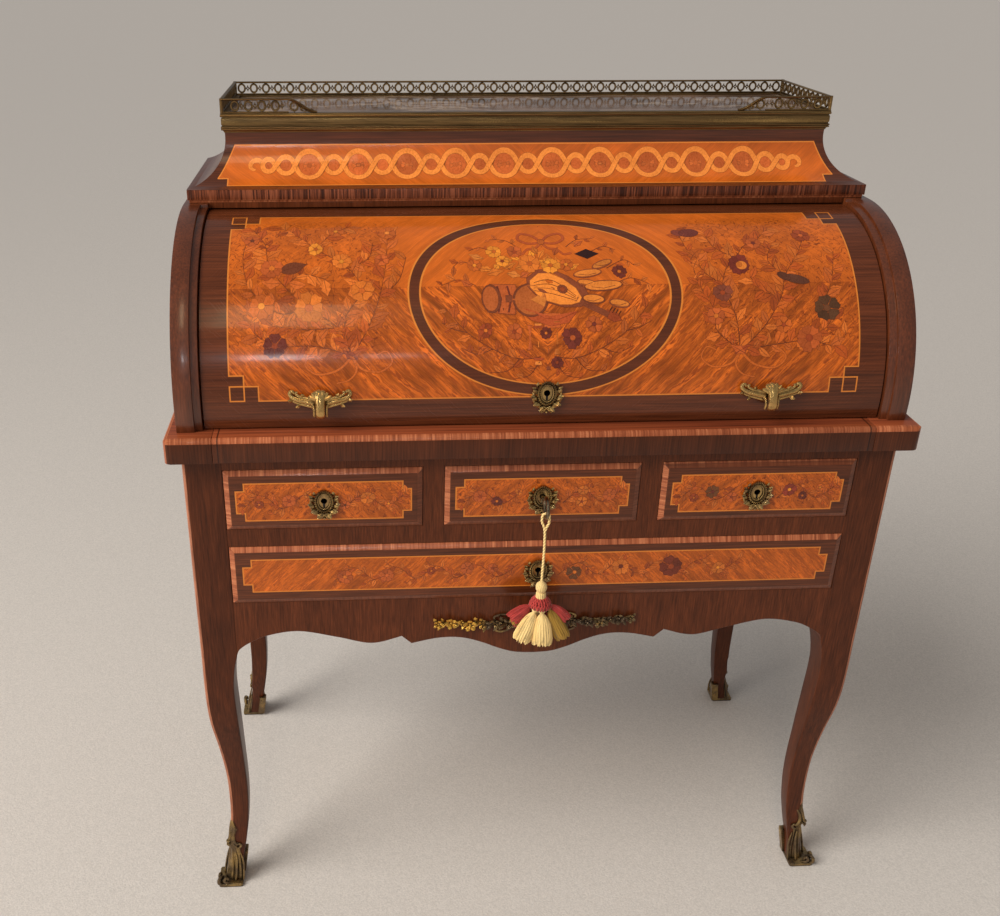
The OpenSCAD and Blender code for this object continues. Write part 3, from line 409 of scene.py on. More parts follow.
def drawer_veneer(name, middle_x, middle_z, half_w, half_h, outer_w, outer_h, notch, curls, lit_top=True):
    """A drawer front: light field in a stepped string, dark band, cross-banded bevel with painted shade on
    its lower and right sides, and on its top too when lit_top is off.
    """
    half = bpy.context.scene.bureau_sizes.string_width / 2
    f = Finish(name, coat_weight=0.2, coat_roughness=0.14, specular_ior_level=0.28)
    x, y, z = f.place()
    ax, az = abs(x - middle_x * MM), abs(z - middle_z * MM)
    field = stepped_panel(half_w * MM - ax, half_h * MM - az, notch * MM)
    across = (ax + z) * DIAGONAL
    base, fine = light_veneer(f, across, (ax - z) * DIAGONAL, 0.7, curls)
    lines, broad = grain(f, x, z, y, fine=460, long=15)
    hue = f.mix(field.over(), kingwood_colour(f, lines, broad, 1), base)
    line = field.near(half, half)
    hue = f.mix(line, hue, f.mix(fine, shaded(picked("string"), 0.8), picked("string")))
    ends = ((outer_h - outer_w) * MM + ax - az).over()
    cross = f.mix(ends, f.noise(x * 420, z * 14, 0.5), f.noise(z * 420, x * 14, 3.5))
    # Painted shade: the bottom bevel, the top one as well when lit_top is off, and the right end's bevel are
    # darkened towards kingwood.
    shade_from = middle_z if lit_top else outer_h + middle_z
    wear_and_painted_shade = f.mix(ends, (shade_from * MM - z).over(0, 0.001), (x - middle_x * MM).over(0, 0.001))
    banding = f.mix(wear_and_painted_shade * 0.75, light_banding(f, cross), kingwood_colour(f, lines, broad, 1.15))
    bevel = (y - (DRAWER_FACE + 0.25) * MM).over()
    hue = f.mix(bevel, hue, banding)
    # The keyhole's bore gets a patch of painted shade.
    return f.paint(paint_bore_shade(f, hue, ax, z, middle_z), fine * 0.14 + 0.24, lines, 0.00004)


def top_veneer():
    """The writing top: dark cross-banded face, a light rounded strip, red-brown veneer above, and a painted
    shadow line at the slide's joints.
    """
    f = Finish("top_veneer", coat_weight=0.12, coat_roughness=0.18, specular_ior_level=0.22)
    x, y, z = f.place()
    face, cloud = grain(f, z, x, y, fine=460, long=15)
    end = (abs(x) - 0.4573).over()
    cross = f.mix(end, f.noise(x * 520, z * 20, 0.5), f.noise(y * 520, z * 20, 0.5))
    strip = f.mix(0.12, light_banding(f, cross), picked("field_dark"))
    flat, haze = grain(f, x, y, z, fine=260, long=5)
    above = f.ramp(flat * 0.6 + haze * 0.4, (0.34, (88, 40, 26)), (0.5, (138, 66, 38)), (0.66, (168, 88, 50)))
    hue = f.mix((z - 0.7338).over(0, 0.0006).most((abs(x) - 0.4566).over(0, 0.0006)),
        kingwood_colour(f, face, cloud, 0.72), strip)
    hue = f.mix((z - 0.73985).over(0, 0.0002), hue, above)
    # Painted shadow: a thin dark line along the gap between the top's ends and the writing slide.
    hue = f.mix(abs(x).near(0.395, 0.0009, 0.0005) * 0.8, hue, tone((34, 14, 8)))
    return f.paint(hue, face * 0.16 + 0.25, face, 0.00004)


def frieze_veneer():
    """The hollow frieze: light field framed by strings in dark wood."""
    half = bpy.context.scene.bureau_sizes.string_width / 2
    f = Finish("frieze_veneer", coat_weight=0.35, coat_roughness=0.12, specular_ior_level=0.4)
    x, y, z = f.place()
    drop = (NECK * MM - z) / (HOLLOW_R * MM)
    t = f.math("ARCSINE", drop.least(1).most(0)) * (HOLLOW_R * MM)
    ax = abs(x)
    reach = (0.3805 + (t - 0.009) * 0.48).least(0.4025)
    edge = (reach - ax).least(t - 0.009).least(0.0705 - t).least((0.39 - ax).most(0.0565 - t))
    base, fine = light_veneer(f, (ax + t) * DIAGONAL, (ax - t) * DIAGONAL, 0.12)
    lines, broad = grain(f, x, z, y, fine=460, long=12)
    front = (0.0632 - y).over(0, 0.0002)
    hue = f.mix(edge.over() * front, kingwood_colour(f, lines, broad, 0.9), base)
    hue = f.mix(edge.near(half, half) * front, hue, picked("string"))
    return f.paint(hue, fine * 0.14 + 0.24, fine, 0.00004)


def cornice_veneer():
    """The cornice: a dark cross-banded edge over a light bead."""
    f = Finish("cornice", coat_weight=0.1, coat_roughness=0.2, specular_ior_level=0.25)
    x, y, z = f.place()
    lines, broad = grain(f, z, x, y, fine=520, long=10)
    bead = z.near(CORNICE_Z * MM - 0.0012, 0.0018, 0.0005)
    cross = f.noise((x + y) * 520, z * 16, 0.5)
    flecks = f.ramp(cross, (0.38, (58, 26, 14)), (0.5, (98, 47, 26)), (0.62, (140, 76, 48)))
    hue = f.mix((z - CORNICE_Z * MM).over(0, 0.0006), kingwood_colour(f, lines, broad, 1.15), flecks)
    hue = f.mix(bead * 0.8, hue, light_banding(f, cross))
    return f.paint(hue, lines * 0.16 + 0.27, lines, 0.00005)


def side_veneer(name, low, high, back, front):
    """The outside of a case side: reddish quartered panel inside a string and a dark band."""
    half = bpy.context.scene.bureau_sizes.string_width / 2
    f = Finish(name, coat_weight=0.4, coat_roughness=0.14)
    x, y, z = f.place()
    middle = (low + high) / 2 * MM
    dy, dz = (y - front * MM).least(back * MM - y), (z - low * MM).least(high * MM - z)
    edge = dy.least(dz)
    base, fine = light_veneer(f, (abs(y - (front + back) / 2 * MM) + abs(z - middle)) * DIAGONAL,
        (y - z) * DIAGONAL, 0.7)
    base = f.mix(0.35, base, tone((120, 52, 28)))
    lines, broad = grain(f, z, y, x, fine=460, long=15)
    hue = f.mix(edge.over(), kingwood_colour(f, lines, broad, 1), base)
    hue = f.mix(edge.near(0, half), hue, picked("string"))
    return f.paint(hue, fine * 0.15 + 0.25, lines, 0.00004)


def bronze(name, base, polish, patina, rub, gilded_to=None, drawn=1):
    """Cast metal, brown-green with age; rub is its share of bright metal.

    Left of gilded_to the gilding is whole. drawn stretches the stains along X and Y, as on wiped strip.
    """
    f = Finish(name, metallic=0.86)
    x, y, z = f.place()
    mottle = f.noise(x * (160 / drawn), y * (160 / drawn), z * 160 * drawn ** 0.5, detail=5,
        rough=0.62)
    wear = f.noise(x * 1300, y * 1300, z * 1300, detail=2)
    cloud = f.noise(x * (45 / drawn), y * (45 / drawn), z * 45 * drawn ** 0.5, detail=3)
    open_part = f.recess(0.004).over(0.62, 0.55)
    hue = f.shades(mottle, base, (0.34, 0.5), (0.5, 0.85), (0.66, 1.25))
    bright = (cloud * 0.6 + wear * 0.4).over(0.68 - rub * 0.35, 0.2) * open_part
    hue = f.mix(bright * 0.8, hue, tone((222, 184, 112)))
    if gilded_to is not None:
        whole = (mottle * 0.02 + gilded_to - x).over(0, 0.012)
        hue = f.mix(whole * open_part, hue, tone((240, 186, 84)))
        patina = 1 - whole * 0.6
    dirt = (1 - open_part).most(mottle.over(0.6, 0.2) * 0.4) * patina
    hue = f.mix(dirt, hue, tone((32, 24, 15)))
    rough = dirt * 0.3 + (mottle * 0.2 + polish)
    return f.paint(hue, rough, mottle * 0.7 + wear * 0.3, 0.00012)


def marble():
    """Grey-brown marble with cloudy patches and pale crossing veins, polished flat."""
    f = Finish("marble")
    x, y, z = f.place()
    warp = f.noise(x * 9, y * 9, z * 9)
    cloud = f.noise(x * 10 + warp * 1.5, y * 18, z * 14 + warp, rough=0.6)
    vein = 1 - abs(f.noise(x * 5 + warp * 2.4, y * 12 + warp, z * 6) - 0.5) * 26
    hue = f.shades(cloud, picked("marble"), (0.32, 0.45), (0.5, 1), (0.66, 1.5))
    hue = f.mix(vein.most(0) * 0.6, hue, tone((206, 180, 156)))
    return f.paint(hue, cloud * 0.08 + 0.06)


def leather():
    """Green skiver with fine pebbled grain and a gilt tooled border."""
    f = Finish("leather", specular_ior_level=0.4)
    x, y, z = f.place()
    low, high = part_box("slide_leather")
    inset = (x - low[0]).least(high[0] - x).least(y - low[1]).least(high[1] - y)
    pebble = f.node("ShaderNodeTexVoronoi", {"feature": "F1"},
        {"Vector": f.vector(x, y, z), "Scale": 900, "Randomness": 0.9})
    wear_and_painted_shade = f.noise(x * 11, y * 11, z * 11, detail=5)
    hue = f.shades(wear_and_painted_shade, picked("leather"), (0.34, 0.7), (0.52, 1), (0.7, 1.6))
    roll = f.math("SINE", (x + y) * 900)
    tooling = inset.near(0.012, 0.0007, 0.0003).most(inset.near(0.018, 0.0007, 0.0003)).most(
        inset.near(0.015, 0.0014) * roll.over(0.1, 0.3))
    hue = f.mix(tooling * 0.85, hue, tone((190, 150, 70)))
    return f.paint(hue, wear_and_painted_shade * 0.2 + 0.38, pebble * 0.6 - tooling * 0.8, 0.00012)


def steel():
    f = Finish("steel", metallic=1)
    x, y, z = f.place()
    brushed = f.noise(x * 90, y * 1100, z * 260)
    stain = f.noise(x * 60, y * 60, z * 60, detail=5)
    hue = f.ramp(stain, (0.34, (104, 92, 74)), (0.5, (160, 146, 122)), (0.68, (200, 188, 166)))
    return f.paint(hue, brushed * 0.2 + 0.24, brushed, 0.00005)


def silk(name, base):
    """Twisted silk, lighter or darker by a point attribute from 0 to 1: on the fringe a random tone for each
    thread, and on the cord and the bound head painted shade in the grooves and painted light on the crowns.
    """
    f = Finish(name, sheen_weight=0.5, sheen_roughness=0.35, specular_ior_level=0.3)
    x, y, z = f.place()
    strand = f.attribute("thread")
    fray = f.noise(x * 2600, y * 2600, z * 260, detail=2)
    # Painted shade and light: low values darken the grooves of the cord and the head, and high values lighten
    # their crowns; on the fringe the values are the threads' own tones.
    hue = f.shades(strand * 0.6 + fray * 0.4, base, (0.2, 0.42), (0.5, 1), (0.8, 1.25))
    return f.paint(hue, fray * 0.15 + 0.5, strand + fray * 0.5, 0.00025)


def slip_finish():
    """Marquetry slips: "tint" is a slip's colour, and "rim" is 1 at its dark sawn edge."""
    f = Finish("marquetry_slips", coat_weight=0.34, coat_roughness=0.11, specular_ior_level=0.25)
    x, y, z = f.place()
    lines = f.noise(x * 420, y * 60 + z * 60, z * 420)
    cloud = f.noise(x * 60, y * 60, z * 60, detail=3)
    tint = f.attribute("tint", "Color")
    hue = f.mix(0.8, tint, f.ramp(lines * 0.5 + cloud * 0.5, (0.34, (206, 198, 190)),
        (0.64, (255, 255, 255))), "MULTIPLY")
    hue = f.mix(f.attribute("rim").over(0.4, 0.55) * 0.68, hue, tone(INK))
    return f.paint(hue, lines * 0.12 + 0.22, lines, 0.00003)


def mix_finishes():
    kingwood("kingwood_up", "z")
    kingwood("kingwood_leg", "z", 0.78, 520, 30)
    for name, along, rough, *tones in (
            ("oak", "x", 0.5, (120, 84, 48), (160, 118, 72), (186, 144, 92)),
            ("oak_deep", "y", 0.5, (112, 78, 46), (152, 110, 68), (180, 138, 88)),
            ("back_boards", "x", 0.6, (66, 44, 28), (96, 68, 44), (122, 90, 60)),
            ("mahogany", "x", 0.3, (92, 42, 24), (138, 70, 40), (166, 94, 56))):
        plain_wood(name, along, *tones, rough)
    for name, x in (("left", -SMALL_DRAWER_X), ("centre", 0), ("right", SMALL_DRAWER_X)):
        drawer_veneer(name + "_front", x, SMALL_Z, 109, 26.5, 122.2, 41, 10.5, 1, name != "right")
    drawer_veneer("long_front", 0, LONG_KEYHOLE_Z, 379, 24.5, 394.2, 41.5, 11, 0.45)
    side_veneer("lower_side", 512, 694, 162, -132)
    side_veneer("upper_side", 764, 930, 205, 0)
    for make in (cylinder_veneer, top_veneer, frieze_veneer, cornice_veneer, marble, leather, steel,
            slip_finish):
        make()
    bronze("gilt", picked("gilt"), 0.14, 1, 0.6)
    bronze("old_brass", shaded(picked("old_brass"), 1.25), 0.24, 0.6, 0.1, drawn=8)
    bronze("garland", tone((112, 92, 72)), 0.2, 1, 0.3, -0.08)
    bronze("dull_bronze", tone((124, 104, 80)), 0.2, 1, 0.35)
    bronze("plate_bronze", tone((162, 130, 92)), 0.16, 1, 0.5)
    for name in ("cream", "red", "olive"):
        silk(name + "_silk", picked(name))


class BUREAU_OT_finishes(bpy.types.Operator):
    """Mixes the finishes that the pieces are painted with"""

    bl_idname = "bureau.finishes"
    bl_label = "Finishes"

    def execute(self, context):
        mix_finishes()
        return {"FINISHED"}


# Modelling helpers. Points are in millimetres; a finished mesh is in metres, in the frame.


def fresh(*chosen):
    """Leaves edit mode and selects only the chosen objects; the first is the active one."""
    if bpy.context.object and bpy.context.object.mode != "OBJECT":
        bpy.ops.object.mode_set(mode="OBJECT")
    bpy.ops.object.select_all(action="DESELECT")
    for piece in chosen:
        piece.select_set(True)
    if chosen:
        bpy.context.view_layer.objects.active = chosen[0]


def renamed(name):
    piece = bpy.context.object
    piece.name = piece.data.name = name
    return piece


def modify(piece, kind, **settings):
    """Adds a modifier and applies it."""
    fresh(piece)
    modifier = piece.modifiers.new(kind, kind)
    for name, value in settings.items():
        setattr(modifier, name, value)
    bpy.ops.object.modifier_apply(modifier=modifier.name)


def tidy(piece, caps=False):
    """Merges doubles, closes open ends and turns the faces outwards."""
    fresh(piece)
    bpy.ops.object.mode_set(mode="EDIT")
    bpy.ops.mesh.select_all(action="SELECT")
    bpy.ops.mesh.remove_doubles(threshold=MERGE)
    if caps:
        bpy.ops.mesh.fill_holes(sides=0)
        bpy.ops.mesh.select_all(action="SELECT")
    bpy.ops.mesh.normals_make_consistent(inside=False)
    bpy.ops.object.mode_set(mode="OBJECT")
    return piece


def skin(name, rows, wrap=False, caps=False):
    """A grid whose vertices are moved onto rows of points; wrap closes each row to a ring."""
    rows = [list(row) + ([row[0]] if wrap else []) for row in rows]
    fresh()
    bpy.ops.mesh.primitive_grid_add(x_subdivisions=len(rows[0]) - 1, y_subdivisions=len(rows) - 1)
    piece = renamed(name)
    piece.data.vertices.foreach_set("co", [c * MM for row in rows for point in row for c in point])
    return tidy(piece, caps)


def joined(name, pieces):
    """Several pieces as one."""
    fresh(*pieces)
    if len(pieces) > 1:
        bpy.ops.object.join()
    return renamed(name)


def copied(name, source, placements):
    """One piece modelled once and copied to each placement, a matrix in metres; the source goes."""
    copies = []
    for placement in placements:
        twin = source.copy()
        twin.data = source.data.copy()
        twin.data.transform(placement)
        bpy.context.collection.objects.link(twin)
        copies.append(twin)
    bpy.data.objects.remove(source)
    return joined(name, copies)


def dressed(piece, body, finish, slot, *nodes, smooth=35):
    """Paints a finished piece, rides it on its body and hides the nodes it stands for."""
    fresh(piece)
    bpy.ops.object.shade_smooth_by_angle(angle=radians(smooth))
    piece.data.materials.clear()
    piece.data.materials.append(finish_of(finish))
    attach(piece, body)
    if nodes:
        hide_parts(*nodes)
    return piece


def eased_copy(node, name, edge, limit=30):
    """A copy of a CAD node's mesh with its facets merged and its sharp edges rounded."""
    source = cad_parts[node]
    piece = bpy.data.objects.new(name, source.data.copy())
    bpy.context.collection.objects.link(piece)
    fresh(piece)
    piece = renamed(name)
    bpy.ops.mesh.customdata_custom_splitnormals_clear()
    bpy.ops.object.mode_set(mode="EDIT")
    bpy.ops.mesh.select_all(action="SELECT")
    bpy.ops.mesh.remove_doubles(threshold=MERGE)
    bpy.ops.mesh.dissolve_limited(angle_limit=radians(0.5))
    bpy.ops.object.mode_set(mode="OBJECT")
    if edge:
        modify(piece, "BEVEL", width=edge, segments=2, limit_method="ANGLE", angle_limit=radians(limit),
            use_clamp_overlap=True)
    return piece


def smooth(stations, steps):
    """A smooth curve through points of any size, with a number of steps to each stretch."""
    made, last = [], len(stations) - 1
    for i in range(last):
        p0, p1, p2, p3 = [stations[k] for k in (max(i - 1, 0), i, i + 1, min(i + 2, last))]
        for step in range(steps):
            t = step / steps
            made.append(tuple(0.5 * (2 * b + (c - a) * t + (2 * a - 5 * b + 4 * c - d) * t * t
                + (3 * b - a - 3 * c + d) * t * t * t) for a, b, c, d in zip(p0, p1, p2, p3)))
    return made + [tuple(stations[-1])]


def at(stations, key, value):
    """Linear reading of a curve of points sorted by their key coordinate, the other one returned."""
    points = sorted(stations, key=lambda p: p[key])
    for a, b in zip(points, points[1:]):
        if value <= b[key]:
            share = 0 if b[key] == a[key] else max(0, (value - a[key]) / (b[key] - a[key]))
            return a[1 - key] + share * (b[1 - key] - a[1 - key])
    return points[-1][1 - key]


def framed(path, first=None):
    """Each point of a path with two directions across it, carried along without a twist."""
    side = Vector(first) if first else None
    for i, point in enumerate(path):
        ahead = (path[min(i + 1, len(path) - 1)] - path[max(i - 1, 0)]).normalized()
        side = ahead.orthogonal() if side is None else side
        side = (side - ahead * side.dot(ahead)).normalized()
        yield point, side, ahead.cross(side)


def tube(name, path, radii, sides=8, flat=1, flat_way=None):
    """A tube along a path, with one radius or one at each point; flat thins it along flat_way."""
    path = [Vector(p) for p in path]
    radii = radii if isinstance(radii, (list, tuple)) else [radii] * len(path)
    rows = [[point + (side * cos(a) * flat + other * sin(a)) * r for a in turns(sides)]
        for (point, side, other), r in zip(framed(path, flat_way), radii)]
    return skin(name, rows, wrap=True, caps=True)


def branch(name, path, radii, **shape):
    """A tube whose path and radii are both smoothed."""
    return tube(name, smooth(path, 4), [p[0] for p in smooth([(r,) for r in radii], 4)], **shape)


def oval(rx, ry, z, angles):
    return [(rx * cos(a), ry * sin(a), z) for a in angles]


def hoop(name, points, radii, sides=8):
    """A closed tube through a ring of points in a plane across +Z."""
    points, count, up, rows = [Vector(p) for p in points], len(points), Vector((0, 0, 1)), []
    radii = radii if isinstance(radii, (list, tuple)) else [radii] * count
    for i in range(count + 1):
        side = (points[(i + 1) % count] - points[i - 1]).normalized().cross(up)
        rows.append([points[i % count] + (side * cos(a) + up * sin(a)) * radii[i % count]
            for a in turns(sides)])
    return skin(name, rows, wrap=True)


def leaf(name, size, width, curl, lobes, thick):
    """A cast leaf that lies along +X from the origin, rises in +Z and curls at its tip."""
    rows = []
    for i in range(10):
        t = i / 9
        half = width / 2 * sin(pi * min(1, 0.12 + t * 0.88)) ** 0.7
        half *= 1 + 0.22 * cos(tau * lobes * t)
        rise = size * curl * (sin(t * pi * 0.8) * 0.6 + t * t * 0.35)
        rows.append([(size * t, half * s, rise - abs(s) * half * 0.35 + (0.3 if s == 0 else 0))
            for s in (-1, -0.5, 0, 0.5, 1)])
    piece = skin(name, rows)
    modify(piece, "SOLIDIFY", thickness=thick * MM, offset=-1)
    return piece


def ball(name, radius, x, y, z):
    """A small round bead."""
    fresh()
    bpy.ops.mesh.primitive_uv_sphere_add(segments=10, ring_count=6, radius=radius * MM,
        location=(x * MM, y * MM, z * MM))
    bpy.ops.object.transform_apply()
    return renamed(name)


def marked(mesh, name, values, kind="FLOAT", field="value"):
    """Writes an attribute with one value for each point."""
    mesh.attributes.new(name, kind, "POINT").data.foreach_set(field, values)


def mirrored(path, side):
    """A path on the side of positive X, or with side -1 its mirror image."""
    return [(side * point[0], *point[1:]) for point in path]


def spin_matrix(x, y, z, turn, tilt, size):
    """Placement in millimetres: a size, a tilt out of the plane, a turn in the plane, then a shift."""
    return (Matrix.Translation(Vector((x, y, z)) * MM) @ Matrix.Rotation(radians(turn), 4, "Z")
        @ Matrix.Rotation(radians(-tilt), 4, "Y") @ Matrix.Scale(size, 4))


def on_drawer(x, z):
    """From a mount's own plane, x right, y up, z out, to a drawer's face."""
    return Matrix(((1, 0, 0, x * MM), (0, 0, -1, DRAWER_FACE * MM), (0, 1, 0, z * MM), (0, 0, 0, 1)))


def on_cylinder(x, z):
    """From a mount's own plane to the cylinder's face at a height."""
    a = asin((z - AXIS_Z) / CYLINDER_R)
    return Matrix(((1, 0, 0, x * MM), (0, sin(a), -cos(a), (AXIS_Y - CYLINDER_R * cos(a)) * MM),
        (0, cos(a), sin(a), z * MM), (0, 0, 0, 1)))


def pinned(model, name, placement, body, finish, node):
    """A copy of a cast mount, pinned on to its body."""
    mount = model.copy()
    mount.data = model.data.copy()
    mount.name = mount.data.name = name
    bpy.context.collection.objects.link(mount)
    mount.data.transform(placement)
    dressed(mount, body, finish, "gilt_brass", node, smooth=50)


# Stage


def soft_light(name, place, target, width, height, power, hue, in_gloss=True):
    light = bpy.data.lights.new(name, "AREA")
    light.shape, light.size, light.size_y = "RECTANGLE", width, height
    light.energy, light.color = power, hue
    lamp = bpy.data.objects.new(name, light)
    lamp.location, lamp.visible_glossy = place, in_gloss
    lamp.rotation_euler = (Vector(target) - Vector(place)).to_track_quat("-Z", "Y").to_euler()
    bpy.context.collection.objects.link(lamp)


def set_stage(context):
    yaw, pitch, roll = 0.0494, -0.4582, 0.0023
    ahead = Vector((sin(yaw) * cos(pitch), cos(yaw) * cos(pitch), sin(pitch)))
    level = Vector((cos(yaw), -sin(yaw), 0))
    raised = level.cross(ahead)
    right = cos(roll) * level + sin(roll) * raised
    up = -sin(roll) * level + cos(roll) * raised
    lens = bpy.data.cameras.new("photo_camera")
    lens.lens, lens.sensor_width = 38.774, 36
    lens.shift_x, lens.shift_y = 0.0864, 0.00965
    camera = bpy.data.objects.new("photo_camera", lens)
    turned = Matrix((right, up, -ahead)).transposed().to_4x4()
    camera.matrix_world = Matrix.Translation((-0.2195, -1.3781, 1.2733)) @ turned
    context.collection.objects.link(camera)
    context.scene.camera = camera
    context.scene.view_settings.view_transform = "Standard"

    soft_light("window_glow", (-2.6, -1.5, 1.9), (0, 0, 0.6), 1.8, 1.6, 42, (1, 0.98, 0.95), False)
    soft_light("fill", (2.6, -2.4, 1.9), (0, 0, 0.6), 2, 2, 0.6, (0.95, 0.97, 1), False)
    soft_light("pane", (-0.56, -3, 1.75), (-0.4, 0, 0.9), 0.26, 0.2, 3.4, (0.97, 0.98, 1))
    soft_light("skylight", (-0.62, -3, 4.15), (-0.3, 0, 0.9), 0.7, 1.3, 15, (1, 0.74, 0.45))
    soft_light("side_window", (-2.9, -1.7, 1.3), (0, -0.2, 0.7), 0.42, 0.9, 8, (1, 0.95, 0.86))
    soft_light("far_pane", (-0.12, -3, 1.75), (-0.2, 0, 0.9), 0.2, 0.16, 0.7, (0.97, 0.98, 1))
    daylight = bpy.data.lights.new("daylight", "SUN")
    daylight.energy, daylight.angle, daylight.color = 2.1, 0.7, (1, 0.98, 0.95)
    lamp = bpy.data.objects.new("daylight", daylight)
    lamp.visible_glossy = False
    lamp.rotation_euler = Vector((1, 0.42, -1)).to_track_quat("-Z", "Y").to_euler()
    context.collection.objects.link(lamp)
    world = bpy.data.worlds.new("room")
    world.use_nodes = True
    world.node_tree.nodes["Background"].inputs[0].default_value = tone((212, 212, 214))
    world.node_tree.nodes["Background"].inputs[1].default_value = 0.36
    context.scene.world = world

    fresh()
    bpy.ops.mesh.primitive_plane_add(size=900, location=(0, 0, 0))
    floor = renamed("floor")
    f = Finish("floor", roughness=0.9)
    x, y, _ = f.place()
    speck = f.noise(x * 420, y * 420, 0.5, detail=2)
    hue = f.shades(speck, picked("floor"), (0.3, 0.86), (0.7, 1.08))
    floor.data.materials.append(f.paint(hue, None, speck, 0.0004))


class BUREAU_OT_stage(bpy.types.Operator):
    """Sets up the camera, the soft light and the plain pale floor"""

    bl_idname = "bureau.stage"
    bl_label = "Camera, Light and Floor"

    def execute(self, context):
        set_stage(context)
        return {"FINISHED"}


# Cord and tassel

CORD_ROUTE = [(4.562, 7.05), (4.426, 1.104), (3.595, -2.809), (0, -4.562), (-3.595, -2.809),
    (-4.426, 1.104),
    (-4.197, 7.05), (-1.505, 14.1), (0, 22.09), (0.411, 33.84), (0.593, 46.06), (0.502, 58.28),
    (0.319, 70.03), (0, 81.78), (0, 94)]
# The cord runs on through the ball and is knotted inside the fringe
CORD_IN_TASSEL = [(0, 117), (0, 140)]
# The loop's end is spliced into the cord below the bow
CORD_SPLICE = [(0.5, 19.5), (1.7, 14.9), (3.7, 11)]


def mark_tone_and_groove_shade(piece, value):
    """Writes the attribute that the silk finish reads for its brightness, from a point in millimetres to a
    share: a thread's own tone, or painted shade in a groove.
    """
    marked(piece.data, "thread", [value(v.co / MM) for v in piece.data.vertices])


def twisted(name, path, radius, turns_per_mm):
    """A rope of two strands laid round each other along a path."""
    path, groove, sides = [Vector(p) for p in path], 0.34, 14
    rows, gone = [], 0
    for i, (point, side, other) in enumerate(framed(path)):
        gone += (point - path[i - 1]).length if i else 0
        row = []
        for a in turns(sides):
            wave = abs(cos(a - tau * turns_per_mm * gone))
            row.append(point + (side * cos(a) + other * sin(a)) * radius * (1 - groove + groove * wave))
        rows.append(row)
    piece = skin(name, rows, wrap=True, caps=True)
    # 1 on each strand's crown and 0 in the groove between strands, which the silk finish paints as shade.
    mark_tone_and_groove_shade(piece, lambda p: 1 - min(1, max(0,
        (radius - min((p - q).length for q in path)) / radius / groove)))
    return piece


def small_tassel(name, rng, lean, out, drop, size, spread, depth_y, tip_y):
    """One tassel of the fringe: a bound head and a flared skirt of threads, hanging from the ruff."""
    strands, rows, base = 44, [], Vector((out, BOW_Y + depth_y, TASSEL_TOP - drop))
    way = Vector((sin(lean), tip_y / size, -cos(lean))).normalized()
    side = Vector((cos(lean), 0, sin(lean)))
    depth = way.cross(side)
    profile = [(0, 0.14), (0.02, 0.26), (0.07, 0.36), (0.12, 0.35), (0.16, 0.22), (0.18, 0.21),
        (0.22, 0.36), (0.32, 0.62), (0.46, 0.84), (0.66, 0.98), (0.86, 1.04), (0.96, 1), (1, 0.93)]
    ends = [rng.uniform(-0.05, 0.04) for _ in range(strands)]
    for share, wide in profile:
        row = []
        for k, a in enumerate(turns(strands)):
            ridge = 1 + (0.09 if k % 2 else -0.05) * (1 if share > 0.21 else 0.3)
            reach = share + (ends[k] if share > 0.88 else 0)
            row.append(base + way * (size * reach) + (side * cos(a) + depth * sin(a) * 0.55)
                * (spread * wide * ridge))
        rows.append(row)
    centre = base + way * (size * 0.9)
    rows.append([centre + (p - centre) * 0.55 for p in rows[-1]])
    piece = skin(name, rows, wrap=True, caps=True)
    mark_tone_and_groove_shade(piece, lambda p: rng.uniform(0.15, 0.95))
    return piece


